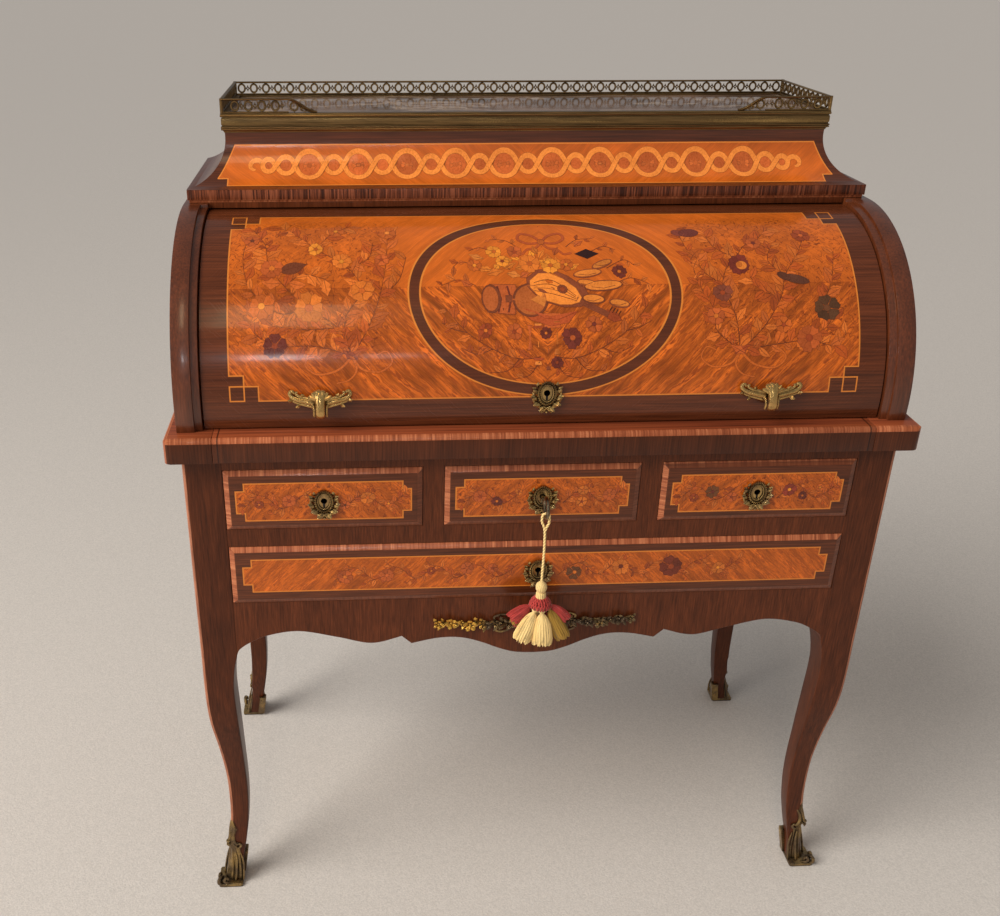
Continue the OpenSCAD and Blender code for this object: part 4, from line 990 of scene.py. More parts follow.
def hang_tassel(context):
    sizes = context.scene.bureau_sizes
    rng = random.Random(7)
    route = [(x, BOW_Y, RIM_Z - drop) for x, drop in CORD_SPLICE + CORD_ROUTE + CORD_IN_TASSEL]
    fine = smooth(route, 10)
    cord = twisted("key_cord_silk", fine, sizes.strand / 2 / MM * 1.08, 0.11)
    parts = {"cream": [], "red": [], "olive": []}

    def lathed(name, outline, ribs, deep):
        waves = [(a, 1 + deep * cos(ribs * a)) for a in turns(48)]
        rows = [[(r * wave * cos(a), BOW_Y + r * wave * sin(a), TASSEL_TOP - drop) for a, wave in waves]
            for r, drop in outline]
        piece = skin(name, rows, wrap=True, caps=True)
        # 1 on each rib and 0 between ribs, which the silk finish paints as shade.
        mark_tone_and_groove_shade(piece, lambda p: 0.5 + 0.5 * cos(ribs * atan2(p.y - BOW_Y, p.x)))
        return piece

    ball = smooth([(1.7, -1.5), (3.2, 0.2), (6, 3), (7.1, 7.4), (6.2, 11.6), (4.6, 14.2), (4.3, 14.9),
        (5.9, 15.8), (6.3, 19), (6.5, 24), (5.4, 28)], 3)
    parts["cream"].append(lathed("head", ball, 16, 0.035))
    loops = []
    for tier, (radius, drop, count) in enumerate(((7.6, 24, 15), (9.6, 26.4, 18), (11.6, 29.2, 20),
            (12.6, 32, 20))):
        for k in range(count):
            a = tau * (k + 0.5 * (tier % 2)) / count + rng.uniform(-0.05, 0.05)
            way = Vector((cos(a), sin(a), 0))
            start = Vector((0, BOW_Y, TASSEL_TOP - drop)) + way * (radius - 3.2)
            path = [start, start + way * 2.6 + Vector((0, 0, 1.3)), start + way * 4.2 - Vector((0, 0, 0.8)),
                start + way * 3.6 - Vector((0, 0, 3.6)), start + way * 1.2 - Vector((0, 0, 5))]
            loops.append(tube("loop", smooth([tuple(p) for p in path], 2), 1.25, sides=6))
    ruff = joined("ruff", loops)
    mark_tone_and_groove_shade(ruff, lambda p: rng.uniform(0.3, 0.9))
    parts["red"].append(ruff)
    parts["red"].append(lathed("core", [(4, 20), (9, 26), (10.5, 33), (7, 40)], 10, 0.06))

    # Colour, lean, place across, drop of its head, length, half width, depth of head and reach of its tip
    hanging = [("red", -0.86, -8.5, 30, 37, 9.6, -1, -1), ("red", 0.74, 8.5, 30, 37, 9.2, -1,
        -1),
        ("red", -0.5, -6, 32, 44, 8.4, 5, 2), ("red", 0.12, 3.4, 33, 52, 8, 2, 1),
        ("olive", 0.44, 7.6, 31, 56, 9.6, -4.5, -2), ("olive", 0.2, 5.5, 33, 52, 8.4, 4, 2),
        ("cream", -0.36, -5.4, 33, 53, 11.4, -5.5, -3), ("cream", 0.04, 1.4, 34, 53.5, 12.2, -6.5,
        -3.5),
        ("cream", -0.1, -2, 33, 54, 8.6, 5, 2), ("olive", -0.6, -7.5, 31, 42, 7.4, 4.5, 1)]
    for k, (shade, *shape) in enumerate(hanging):
        parts[shade].append(small_tassel("fringe_%d" % k, rng, *shape))
    pieces = [cord] + [joined("tassel_" + shade, made) for shade, made in parts.items()]
    for piece, shade in zip(pieces, ("cream", *parts)):
        nodes = ("key_cord", "key_tassel") if piece == cord else ("key_tassel",)
        dressed(piece, "tassel", shade + "_silk", "silk", *nodes, smooth=60)
        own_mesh(piece)
    points = [Vector(p) * MM for p in fine]
    run = sum((b - a).length for a, b in zip(points, points[1:]))
    tuple(points[0])
    [tuple(p) for p in points]
    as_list(pieces[1:])


class BUREAU_OT_tassel(bpy.types.Operator):
    """Hangs the twisted cord from the key's bow, with its tassel of silk fringe"""

    bl_idname = "bureau.tassel"
    bl_label = "Cord and Tassel"

    def execute(self, context):
        hang_tassel(context)
        return {"FINISHED"}


# Legs and shoes

ANKLE_SET, ANKLE_IN = 16.5, 44
LEG_OUTER = [(0, 1), (0, .83), (.15 * ANKLE_SET, .72), (.58 * ANKLE_SET, .6), (.91 * ANKLE_SET, .48),
    (ANKLE_SET, .385), (.94 * ANKLE_SET, .27), (.6 * ANKLE_SET, .17), (0, .09), (-.36 * ANKLE_SET, 12 / 416),
    (-.45 * ANKLE_SET, .5 / 416)]
LEG_INNER = [(POST, 1), (ANKLE_IN - 1.5, .94), (ANKLE_IN - 4.5, .86), (ANKLE_IN - 3, .72),
    (ANKLE_IN - 1.5, .58),
    (ANKLE_IN, .4), (ANKLE_IN - 2.5, .27), (ANKLE_IN - 8, .17), (ANKLE_IN - 14, .09),
    (ANKLE_IN - 16, 12 / 416), (ANKLE_IN - 17, .5 / 416)]
SHOE_OUTER = [(15.5, 112), (13.6, 94), (11.5, 79), (10.4, 68), (11.4, 59), (9.8, 42), (7.4, 25), (5, 12),
    (3.8, 4), (4.6, 0)]
SHOE_TOP = 112
# The scrolls and ribs of a shoe, each with its radii: u and v in from the two faces, and height
SHOE_CURLS = (
    ("c_scroll", [(16.4, 5.6, 60), (20, 4.2, 61.5), (22.5, 4.6, 65), (20.6, 5.4, 68.5), (17, 5.4, 67.5),
        (13.6, 6, 71), (11.8, 7.2, 78), (12.8, 9, 85), (16, 10.8, 91), (19.5, 12.2, 94),
        (22, 12.4, 91.5),
        (20.6, 12, 89)], (1, 1.6, 1.9, 1.8, 2, 2.5, 2.7, 2.5, 2.2, 1.9, 1.6, 1.2)),
    ("notch", [(7.5, 6, 77), (5.4, 3.4, 75.5), (5, 3, 73)], (1.4, 1.8, 1)),
    ("notch", [(7.5, 6, 71), (5.4, 3.4, 69.5), (5, 3, 67)], (1.4, 1.8, 1)),
    ("rib", [(12, -5.4, 6), (14, -2.4, 24), (15.5, 1.6, 42), (13.5, 5, 56)], (1.5, 1.8, 1.6, 0.8)),
    ("rib", [(23.5, -3.8, 6), (24.5, -1.2, 20), (24, 3, 36), (20, 6.6, 52)], (1.4, 1.7, 1.5, 0.8)),
    ("toe_curl", [(6, -5.6, 5), (1.5, -8, 7), (-2, -9.4, 12), (0.5, -8.8, 16.5), (3.5, -7.4, 14),
        (2.4, -7.4, 10.5)], (1.8, 2.3, 2.4, 2.2, 1.8, 1.3)))
SHOE_MIDDLE = (
    ("toe", [(-1, -1, 5), (-6, -6, 4.5), (-9.6, -9.6, 8), (-9.4, -9.4, 14), (-6.2, -6.2, 16.5),
        (-5.2, -5.2, 12.5)], (4.4, 3.4, 2.9, 2.6, 2.1, 1.5)),
    ("tip", [(5.8, 5.8, 76), (8.4, 8.4, 85), (11.4, 11.4, 97), (14.4, 14.4, 109)], (2, 2.6, 2.2, 1)))
CORNERS = {"front_left": (-1, -1), "front_right": (1, -1), "back_left": (-1, 1), "back_right": (1, 1)}


def at_corner(right, back, u, v, z):
    """From distances in from the case's faces to the frame, for one corner of the case."""
    return (right * (CASE_HALF - u), CASE_BACK - v if back > 0 else CASE_FRONT + v, z)


def leg_sides():
    """The outer and inner outline of a leg's face as functions of the height."""
    outer, inner = [[(u, h * POST_FOOT) for u, h in smooth(line, 4)] for line in (LEG_OUTER, LEG_INNER)]
    return (lambda z: at(outer, 1, z) if z < POST_FOOT else 0,
        lambda z: at(inner, 1, z) if z < POST_FOOT else POST)


def square_ring(low, high, outer_r, inner_r):
    """A rounded square from low to high in both ways; the corner at low, low has its own radius."""
    ring, steps = [], 4
    for cu, cv, r, start in ((low, low, outer_r, 180), (high, low, inner_r, 270), (high, high, inner_r, 0),
            (low, high, inner_r, 90)):
        mu, mv = cu + (r if cu == low else -r), cv + (r if cv == low else -r)
        for k in range(steps + 1):
            a = radians(start + 90 * k / steps)
            ring.append((mu + r * cos(a), mv + r * sin(a)))
    return ring


def loft_legs(context):
    round_r = context.scene.bureau_sizes.leg_rounding / MM
    outer, inner = leg_sides()
    shoe = smooth(SHOE_OUTER, 4)
    heights = [UNDER_TOP, UNDER_TOP - 0.8] + [POST_FOOT * (1 - k / 46) for k in range(46)] + [1]
    for corner, (right, back) in CORNERS.items():
        rows = []
        for z in heights:
            low, high = outer(z), inner(z)
            if z < SHOE_TOP - 4:
                low = max(low, at(shoe, 1, z) + 1.4)
            ease = min(1, max(0, (POST_FOOT - z) / 120))
            ring = square_ring(low, high, round_r, 0.8 + 1.6 * ease)
            guard = low + round_r + 0.8
            ring = [(low, guard)] + ring[:5] + [(guard, low)] + ring[5:]
            rows.append([at_corner(right, back, u, v, z) for u, v in ring])
        leg = skin("cabriole_" + corner, rows, wrap=True, caps=True)

        def on_string(p):
            u, v = CASE_HALF - right * p.x, (CASE_BACK - p.y) if back > 0 else (p.y - CASE_FRONT)
            return 1 if u + v - 2 * outer(p.z) < round_r + 0.3 else 0

        marked(leg.data, "corner", [on_string(v.co / MM) for v in leg.data.vertices])
        dressed(leg, "carcass", "kingwood_leg", "dark_wood", "leg_" + corner, smooth=40)


class BUREAU_OT_legs(bpy.types.Operator):
    """Lofts the four cabriole legs with their corner posts"""

    bl_idname = "bureau.legs"
    bl_label = "Cabriole Legs"

    def execute(self, context):
        loft_legs(context)
        return {"FINISHED"}


def cast_shoes():
    outer, inner = smooth(SHOE_OUTER, 4), leg_sides()[1]
    # Half width of the leaf as a share of the leg's face, at each height
    leaf_edge = smooth([(0.97, 1.6), (0.98, 8), (0.95, 20), (0.84, 33), (0.68, 46), (0.56, 57),
        (0.4, 64), (0.27, 69), (0.2, 78), (0.22, 87), (0.26, 93), (0.17, 101), (0.02, 110)], 3)
    for corner, (right, back) in CORNERS.items():
        def corner_point(u, v, z):
            return at_corner(right, back, u, v, z)

        def placed(name, points, radii, swap):
            shift = 3 if name.startswith("toe") else 5.2
            path = [corner_point((v if swap else u) + shift, (u if swap else v) + shift, z) for u, v,
                z in points]
            return branch(name, path, radii)

        rows = []
        for wide, z in leaf_edge:
            low, high = at(outer, 1, z), inner(z)
            span, row = high - low, []
            for k in range(-18, 19):
                t = k / 18 * wide
                flute = 1.1 * cos(pi * 7 * k / 18) * min(1, z / 14) * (1 - z / 150)
                hem = 1.6 * max(0, abs(k) / 18 - 0.8) * 5
                ease = 2.6 * max(0, 1 - abs(t) * span / 5) ** 2
                along, out = low + abs(t) * span + ease, low + ease + max(hem - 1, 0) + 0.6 - flute
                u, v = (along, out) if k > 0 else (out, along)
                row.append(corner_point(max(u, -14.5), max(v, -14.5), z))
            rows.append(row)
        shell = skin("shell", rows)
        modify(shell, "SOLIDIFY", thickness=2.2 * MM, offset=-1 if right * back < 0 else 1)
        parts = [tidy(shell)]
        sole = [[corner_point(u, v, z) for u, v in square_ring(-7.6 + draw, 28.2 - draw, 4, 3)]
            for z, draw in ((0, 0.6), (0.8, 0), (5, 0), (5.8, 0.8))]
        parts.append(skin("sole", sole, wrap=True, caps=True))
        tab = [[corner_point(u, v, z) for u, v in ((low, high - 11), (high, high - 11), (high, high),
            (high - 11, high), (high - 11, low), (low, low))] for z, low, high in ((4, 22, 30.5),
            (10, 22, 31), (36, 25, 35.2), (42, 27, 35.6), (43, 28, 35))]
        parts.append(skin("heel_tab", tab, wrap=True, caps=True))
        parts += [placed(*curl, swap) for swap in (False, True) for curl in SHOE_CURLS]
        parts += [placed(*curl, False) for curl in SHOE_MIDDLE]
        shoe = joined("shoe_" + corner, parts)
        dressed(shoe, "carcass", "dull_bronze", "gilt_brass", "sabot_" + corner, smooth=50)


class BUREAU_OT_shoes(bpy.types.Operator):
    """Casts the four gilt leaf-shaped shoes with their scrolled toes"""

    bl_idname = "bureau.shoes"
    bl_label = "Gilt Shoes"

    def execute(self, context):
        cast_shoes()
        return {"FINISHED"}


# Case


def finish_case(context):
    sizes = context.scene.bureau_sizes
    centre = [(0, 1.11), (.06, 1.09), (.114, 1.01), (.17, .89), (.22, .805), (.262, .768), (.3, .765),
        (.345, .79), (.413, .866)]
    outer = [(.446, .72), (.547, .84), (.661, .707), (.79, .573), (.896, .646), (.955, .775), (.99, .9),
        (1, 1)]
    edge = [(x * INNER_HALF, APRON_TOP - d * 82) for part in (centre, outer) for x, d in smooth(part, 12)]
    edge = [(-x, z) for x, z in reversed(edge)] + edge[1:]
    rows = [[(x, CASE_FRONT + 20, APRON_TOP), (x, CASE_FRONT, APRON_TOP), (x, CASE_FRONT, z + 0.7),
        (x, CASE_FRONT + 0.7, z), (x, CASE_FRONT + 20, z)] for x, z in edge]
    apron = skin("apron", rows, wrap=True, caps=True)
    dressed(apron, "carcass", "kingwood_up", "dark_wood", "front_apron")

    for finish, slot, nodes in (("top_veneer", "dark_wood", "top_end_left top_end_right slide_board"),
            ("upper_side", "side_wood", "upper_side_left upper_side_right"), ("cornice", "dark_wood",
            "cornice"),
            ("lower_side", "side_wood", "lower_side_left lower_side_right"), ("mahogany", "side_wood",
            "fitment")):
        for node in nodes.split():
            body = "writing_slide" if node == "slide_board" else "carcass"
            dressed(eased_copy(node, node + "_veneered", sizes.edge), body, finish, slot, node, smooth=40)

    plain = {"kingwood_up": "top_rail middle_rail drawer_dividers", "back_boards": "lower_back upper_back",
        "oak": "dust_boards", "oak_deep": "slide_bearers left_drawer_box centre_drawer_box right_drawer_box "
        "long_drawer_box", "mahogany": "rear_bed cylinder_arm_left cylinder_arm_right inner_drawer_left "
        "inner_drawer_right", "marble": "marble_top", "leather": "slide_leather", "steel": "key lock_bolt",
        "old_brass": "pivot_pins inner_knob_left inner_knob_right drawer_lock"}
    for finish, nodes in plain.items():
        for node in nodes.split():
            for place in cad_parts[node].material_slots:
                place.material = finish_of(finish)


class BUREAU_OT_case(bpy.types.Operator):
    """Finishes the carcass, its apron, the writing top and the upper case"""

    bl_idname = "bureau.case"
    bl_label = "Case and Top"

    def execute(self, context):
        finish_case(context)
        return {"FINISHED"}


class BUREAU_OT_drawer_fronts(bpy.types.Operator):
    """Veneers the four bevelled drawer fronts"""

    bl_idname = "bureau.drawer_fronts"
    bl_label = "Drawer Fronts"

    def execute(self, context):
        for drawer in ("left", "centre", "right", "long"):
            node = drawer + "_drawer_front"
            front = eased_copy(node, drawer + "_front_veneered", 0.0004, 10)
            dressed(front, drawer + "_drawer", drawer + "_front", "marquetry", node, smooth=20)
        return {"FINISHED"}


def veneer_cylinder():
    def arc(radius, start, end, steps):
        return [(AXIS_Y - radius * cos(a), AXIS_Z + radius * sin(a))
            for a in [radians(start + (end - start) * k / steps) for k in range(steps + 1)]]

    inner_r, slack = CYLINDER_R - SHELL_T, 0.2
    section = arc(CYLINDER_R - 0.5, SHELL_LOW, SHELL_LOW + 0.01, 1) + arc(
        CYLINDER_R, SHELL_LOW + slack, SHELL_HIGH - slack, 96)
    inner = arc(inner_r, SHELL_LOW + slack, SHELL_HIGH - slack, 48)
    inner[0] = (inner[0][0], section[0][1])
    section += list(reversed(inner))
    ends = [(-SHELL_HALF, 0.6), (-SHELL_HALF + 0.6, 0), (SHELL_HALF - 0.6, 0), (SHELL_HALF, 0.6)]
    rows = []
    for x, draw_in in ends:
        row = []
        for y, z in section:
            out = Vector((y - AXIS_Y, z - AXIS_Z))
            shift = out.normalized() * draw_in * (1 if out.length > CYLINDER_R - SHELL_T / 2 else -1)
            row.append((x, y - shift.x, z - shift.y))
        rows.append(row)
    shell = skin("cylinder_veneered", rows, wrap=True, caps=True)
    fresh()
    bpy.ops.mesh.primitive_cylinder_add(vertices=32, radius=4 * MM, depth=0.06)
    drill = renamed("drill")
    drill.data.transform(on_cylinder(0, ESCUTCHEON_Z))
    modify(shell, "BOOLEAN", operation="DIFFERENCE", object=drill, solver="EXACT")
    bpy.data.objects.remove(drill)
    dressed(shell, "cylinder", "cylinder_veneer", "marquetry", "cylinder_shell", smooth=30)


class BUREAU_OT_cylinder(bpy.types.Operator):
    """Bends the veneered shell of the cylinder"""

    bl_idname = "bureau.cylinder"
    bl_label = "Cylinder"

    def execute(self, context):
        veneer_cylinder()
        return {"FINISHED"}


# Marquetry: thin slips of coloured wood with dark sawn edges

TAN, AMBER, ORANGE, RUSSET = (196, 94, 40), (218, 116, 40), (208, 102, 36), (160, 70, 32)
YELLOW, CREAM, PLUM, WALNUT, OLIVE = (244, 146, 46), (230, 132, 54), (116, 50, 36), (118, 60, 34), (112, 66,
    34)
BROWN, TWIG, RIB = (140, 70, 40), (150, 72, 32), (120, 54, 24)
LEAF_TINTS = ((202, 98, 34), (190, 88, 30), (212, 108, 38), (176, 80, 30), (204, 102, 40), (218, 114, 42),
    (184, 84, 28))
# A petal's outline as shares of its length and half width
PETAL = [(0.08, 0), (0.38, 0.52), (0.7, 0.98), (0.96, 0.7), (0.93, 0), (1, -0.6), (0.72, -1),
    (0.38, -0.52)]


def turned(points, x, y, turn):
    """Flat points turned about the origin and then moved to x, y."""
    c, s = cos(radians(turn)), sin(radians(turn))
    return [(x + u * c - v * s, y + u * s + v * c) for u, v in points]


def ellipse(x, y, rx, ry, turn=0, steps=16):
    return turned([(rx * cos(a), ry * sin(a)) for a in turns(steps)], x, y, turn)


def leaf_outline(x, y, long, wide, turn, lobes=0, bend=0):
    """A pointed leaf from its stalk at x, y; lobes notch its edge and bend curves its rib."""
    flat, steps = [], 8
    for sign, order in ((-1, range(steps + 1)), (1, range(steps - 1, 0, -1))):
        for t in [k / steps for k in order]:
            notch = 0.24 * cos(tau * lobes * t) if lobes else 0
            half = wide / 2 * sin(pi * t ** 0.85) * (1 + notch)
            flat.append((long * t, sign * half + bend * long * sin(pi * t)))
    return turned(flat, x, y, turn)


class Inlay:
    """Slips of wood laid into one face; lay turns (across, up, lift) into a point of the frame."""

    def __init__(self, name, lay, seed, keep=lambda u, v: True):
        self.name, self.lay, self.rng, self.keep = name, lay, random.Random(seed), keep
        self.points, self.faces, self.tints, self.rims = [], [], [], []

    def put(self, u, v, lift, rgb, rim):
        self.points.append(tuple(c * MM for c in self.lay(u, v, lift)))
        self.tints.append(tone(rgb))
        self.rims.append(rim)

    def varied(self, rgb):
        share = self.rng.uniform(0.9, 1.08)
        return tuple(min(255, c * share) for c in rgb)

    def slip(self, outline, rgb, lift, line=0.8, edge=1):
        """A slip with a plain middle and a dark edge; its outline is seen whole from its middle."""
        n, start = len(outline), len(self.points)
        area = sum(a[0] * b[1] - b[0] * a[1] for a, b in zip(outline, outline[1:] + outline[:1]))
        outline = outline if area > 0 else outline[::-1]
        cu, cv = sum(p[0] for p in outline) / n, sum(p[1] for p in outline) / n
        rgb, lift = self.varied(rgb), lift + self.rng.uniform(0, 0.05)
        for u, v in outline:
            self.put(u, v, lift, rgb, edge)
        for u, v in outline:
            reach = hypot(u - cu, v - cv)
            keep = 1 - min(0.5, line / max(reach, 0.01))
            self.put(cu + (u - cu) * keep, cv + (v - cv) * keep, lift, rgb, 0)
        self.put(cu, cv, lift, rgb, 0)
        for k in range(n):
            m = (k + 1) % n
            self.faces.append((start + k, start + m, start + n + m, start + n + k))
            self.faces.append((start + n + k, start + n + m, start + 2 * n))

    def strip(self, path, width, rgb, lift, line=0.7):
        """A band along a path; a narrow one is all dark line. lift may be a list, one for each point."""
        start, last = len(self.points), len(path) - 1
        widths = width if isinstance(width, list) else [width] * (last + 1)
        lifts = lift if isinstance(lift, list) else [lift] * (last + 1)
        for i, (u, v) in enumerate(path):
            au, av = [after - before for after, before in zip(path[min(i + 1, last)], path[max(i - 1, 0)])]
            size = hypot(au, av) or 1
            nu, nv = av / size, -au / size
            half = widths[i] / 2
            inner = max(half - line, 0.02)
            plain = 0 if half > line else 1
            for offset, rim in ((half, 1), (inner, plain), (-inner, plain), (-half, 1)):
                self.put(u + nu * offset, v + nv * offset, lifts[i], rgb, rim)
        for i in range(last):
            a, b = start + 4 * i, start + 4 * i + 4
            self.faces += [(a + k, b + k, b + k + 1, a + k + 1) for k in range(3)]

    def leaf(self, x, y, long, wide, turn, rgb, lobes, bend=0, lift=0.13):
        if not self.keep(x + long * cos(radians(turn)), y + long * sin(radians(turn))):
            return
        self.slip(leaf_outline(x, y, long, wide, turn, lobes, bend), rgb, lift, 0.8,
            0.78 if long > 9 else 0.6)
        if long > 9:
            rib = [(long * t, bend * long * sin(pi * t)) for t in (0.06, 0.3, 0.55, 0.82)]
            self.strip(turned(rib, x, y, turn), [0.6, 0.5, 0.4, 0.2], RIB, lift + 0.07)

    def flower(self, x, y, r, rgb, eye, petals, turn=None):
        turn = self.rng.uniform(0, 72) if turn is None else turn
        wide = 0.52 * r * sin(pi / petals) / 0.588
        for k in range(petals):
            long = r * self.rng.uniform(0.86, 1.12)
            petal = [(u * long, v * wide) for u, v in PETAL]
            self.slip(turned(petal, x, y, turn + 360 * k / petals), rgb, 0.2 + 0.012 * k, 0.7)
        self.slip(ellipse(x, y, r * 0.27, r * 0.27, steps=10), eye, 0.34, 0.5)

    def stem(self, path, size, gap, steps=6, width=1.1):
        """A dark stem with leaves growing from it on both sides by turns."""
        line = smooth(path, steps)
        self.strip(line, [width * (1 - 0.5 * k / len(line)) for k in range(len(line))], TWIG, 0.09)
        gone, side = 0, 1
        for a, b in zip(line, line[1:]):
            gone += hypot(b[0] - a[0], b[1] - a[1])
            if gone > gap:
                gone, side = 0, -side
                way = degrees(atan2(b[1] - a[1], b[0] - a[0])) + side * self.rng.uniform(32, 66)
                long = size * self.rng.uniform(0.7, 1.25)
                self.leaf(b[0], b[1], long, long * self.rng.uniform(0.4, 0.58), way,
                    self.rng.choice(LEAF_TINTS), self.rng.choice((0, 2, 3)), self.rng.uniform(-0.1, 0.1))

    def made(self, body):
        """The slips as one piece, let a little way into the face."""
        mesh = bpy.data.meshes.new(self.name)
        mesh.from_pydata(self.points, [], self.faces)
        marked(mesh, "tint", [c for tint in self.tints for c in tint], "FLOAT_COLOR", "color")
        marked(mesh, "rim", self.rims)
        piece = bpy.data.objects.new(self.name, mesh)
        bpy.context.collection.objects.link(piece)
        modify(piece, "SOLIDIFY", thickness=0.3 * MM, offset=-1)
        dressed(piece, body, "marquetry_slips", "marquetry", smooth=20)


def clear_of_band(x, s):
    """Whether a leaf's tip stays off the oval's band and the edges of the field."""
    ring = hypot(x / 165, (s - 140.3) / 125)
    return (ring < 0.86 or ring > 1.05) and abs(x) < 373 and 22 < s < 266


def cylinder_lay(x, s, lift):
    a, radius = s / CYLINDER_R, CYLINDER_R + lift
    return x, AXIS_Y - radius * cos(a), AXIS_Z + radius * sin(a)


LEFT_STEMS = ([(-233, 66), (-250, 100), (-284, 124), (-312, 152), (-331, 182), (-336, 214), (-352, 244)],
    [(-233, 66), (-241, 108), (-221, 145), (-236, 176), (-274, 206), (-300, 232), (-322, 250)],
    [(-233, 66), (-214, 98), (-199, 138), (-190, 188), (-188, 232)],
    [(-233, 66), (-274, 78), (-322, 80), (-350, 98), (-345, 126)],
    [(-285, 124), (-318, 118), (-352, 148), (-362, 190), (-358, 222)],
    [(-274, 206), (-262, 226), (-250, 240), (-228, 252)],
    [(-199, 138), (-176, 158), (-166, 192)], [(-250, 100), (-292, 98), (-330, 104)],
    [(-236, 176), (-212, 190), (-206, 214)], [(-312, 152), (-290, 168), (-262, 160)])
SCROLLS = ([(233, 66), (222, 51), (201, 47), (186, 58), (192, 71), (204, 67)],
    [(233, 66), (250, 50), (275, 45), (289, 57), (279, 68), (268, 62)],
    [(233, 66), (228, 50), (237, 38), (252, 34)])
RIGHT_STEMS = ([(233, 66), (228, 108), (216, 144), (222, 168), (236, 184), (250, 204), (264, 210),
    (288, 238)], [(233, 66), (262, 94), (285, 130), (294, 160), (314, 190), (332, 226)],
    [(233, 66), (270, 72), (316, 80), (344, 100), (338, 122), (350, 152), (360, 194)],
    [(233, 66), (205, 90), (203, 114), (186, 150), (180, 190), (172, 230)],
    [(216, 146), (194, 166), (188, 186)], [(285, 130), (262, 140), (250, 158)],
    [(236, 184), (212, 204), (206, 226)],
    [(294, 160), (276, 180), (284, 204)], [(316, 80), (348, 70), (362, 84)])


# Each sprig of the oval with the size of its leaves
SPRIGS = (([(8, 62), (34, 60), (66, 72), (96, 92), (122, 122)], 17), ([(66, 72), (84, 66), (104, 74)], 12),
    ([(34, 60), (48, 46), (70, 44)], 12), ([(10, 56), (22, 40), (40, 36)], 10),
    ([(84, 150), (104, 158), (126, 150)], 13), ([(76, 172), (98, 184), (110, 176)], 12),
    ([(60, 198), (76, 206), (90, 200)], 10), ([(30, 206), (44, 218), (62, 220)], 10),
    ([(96, 92), (112, 96), (126, 104)], 11))


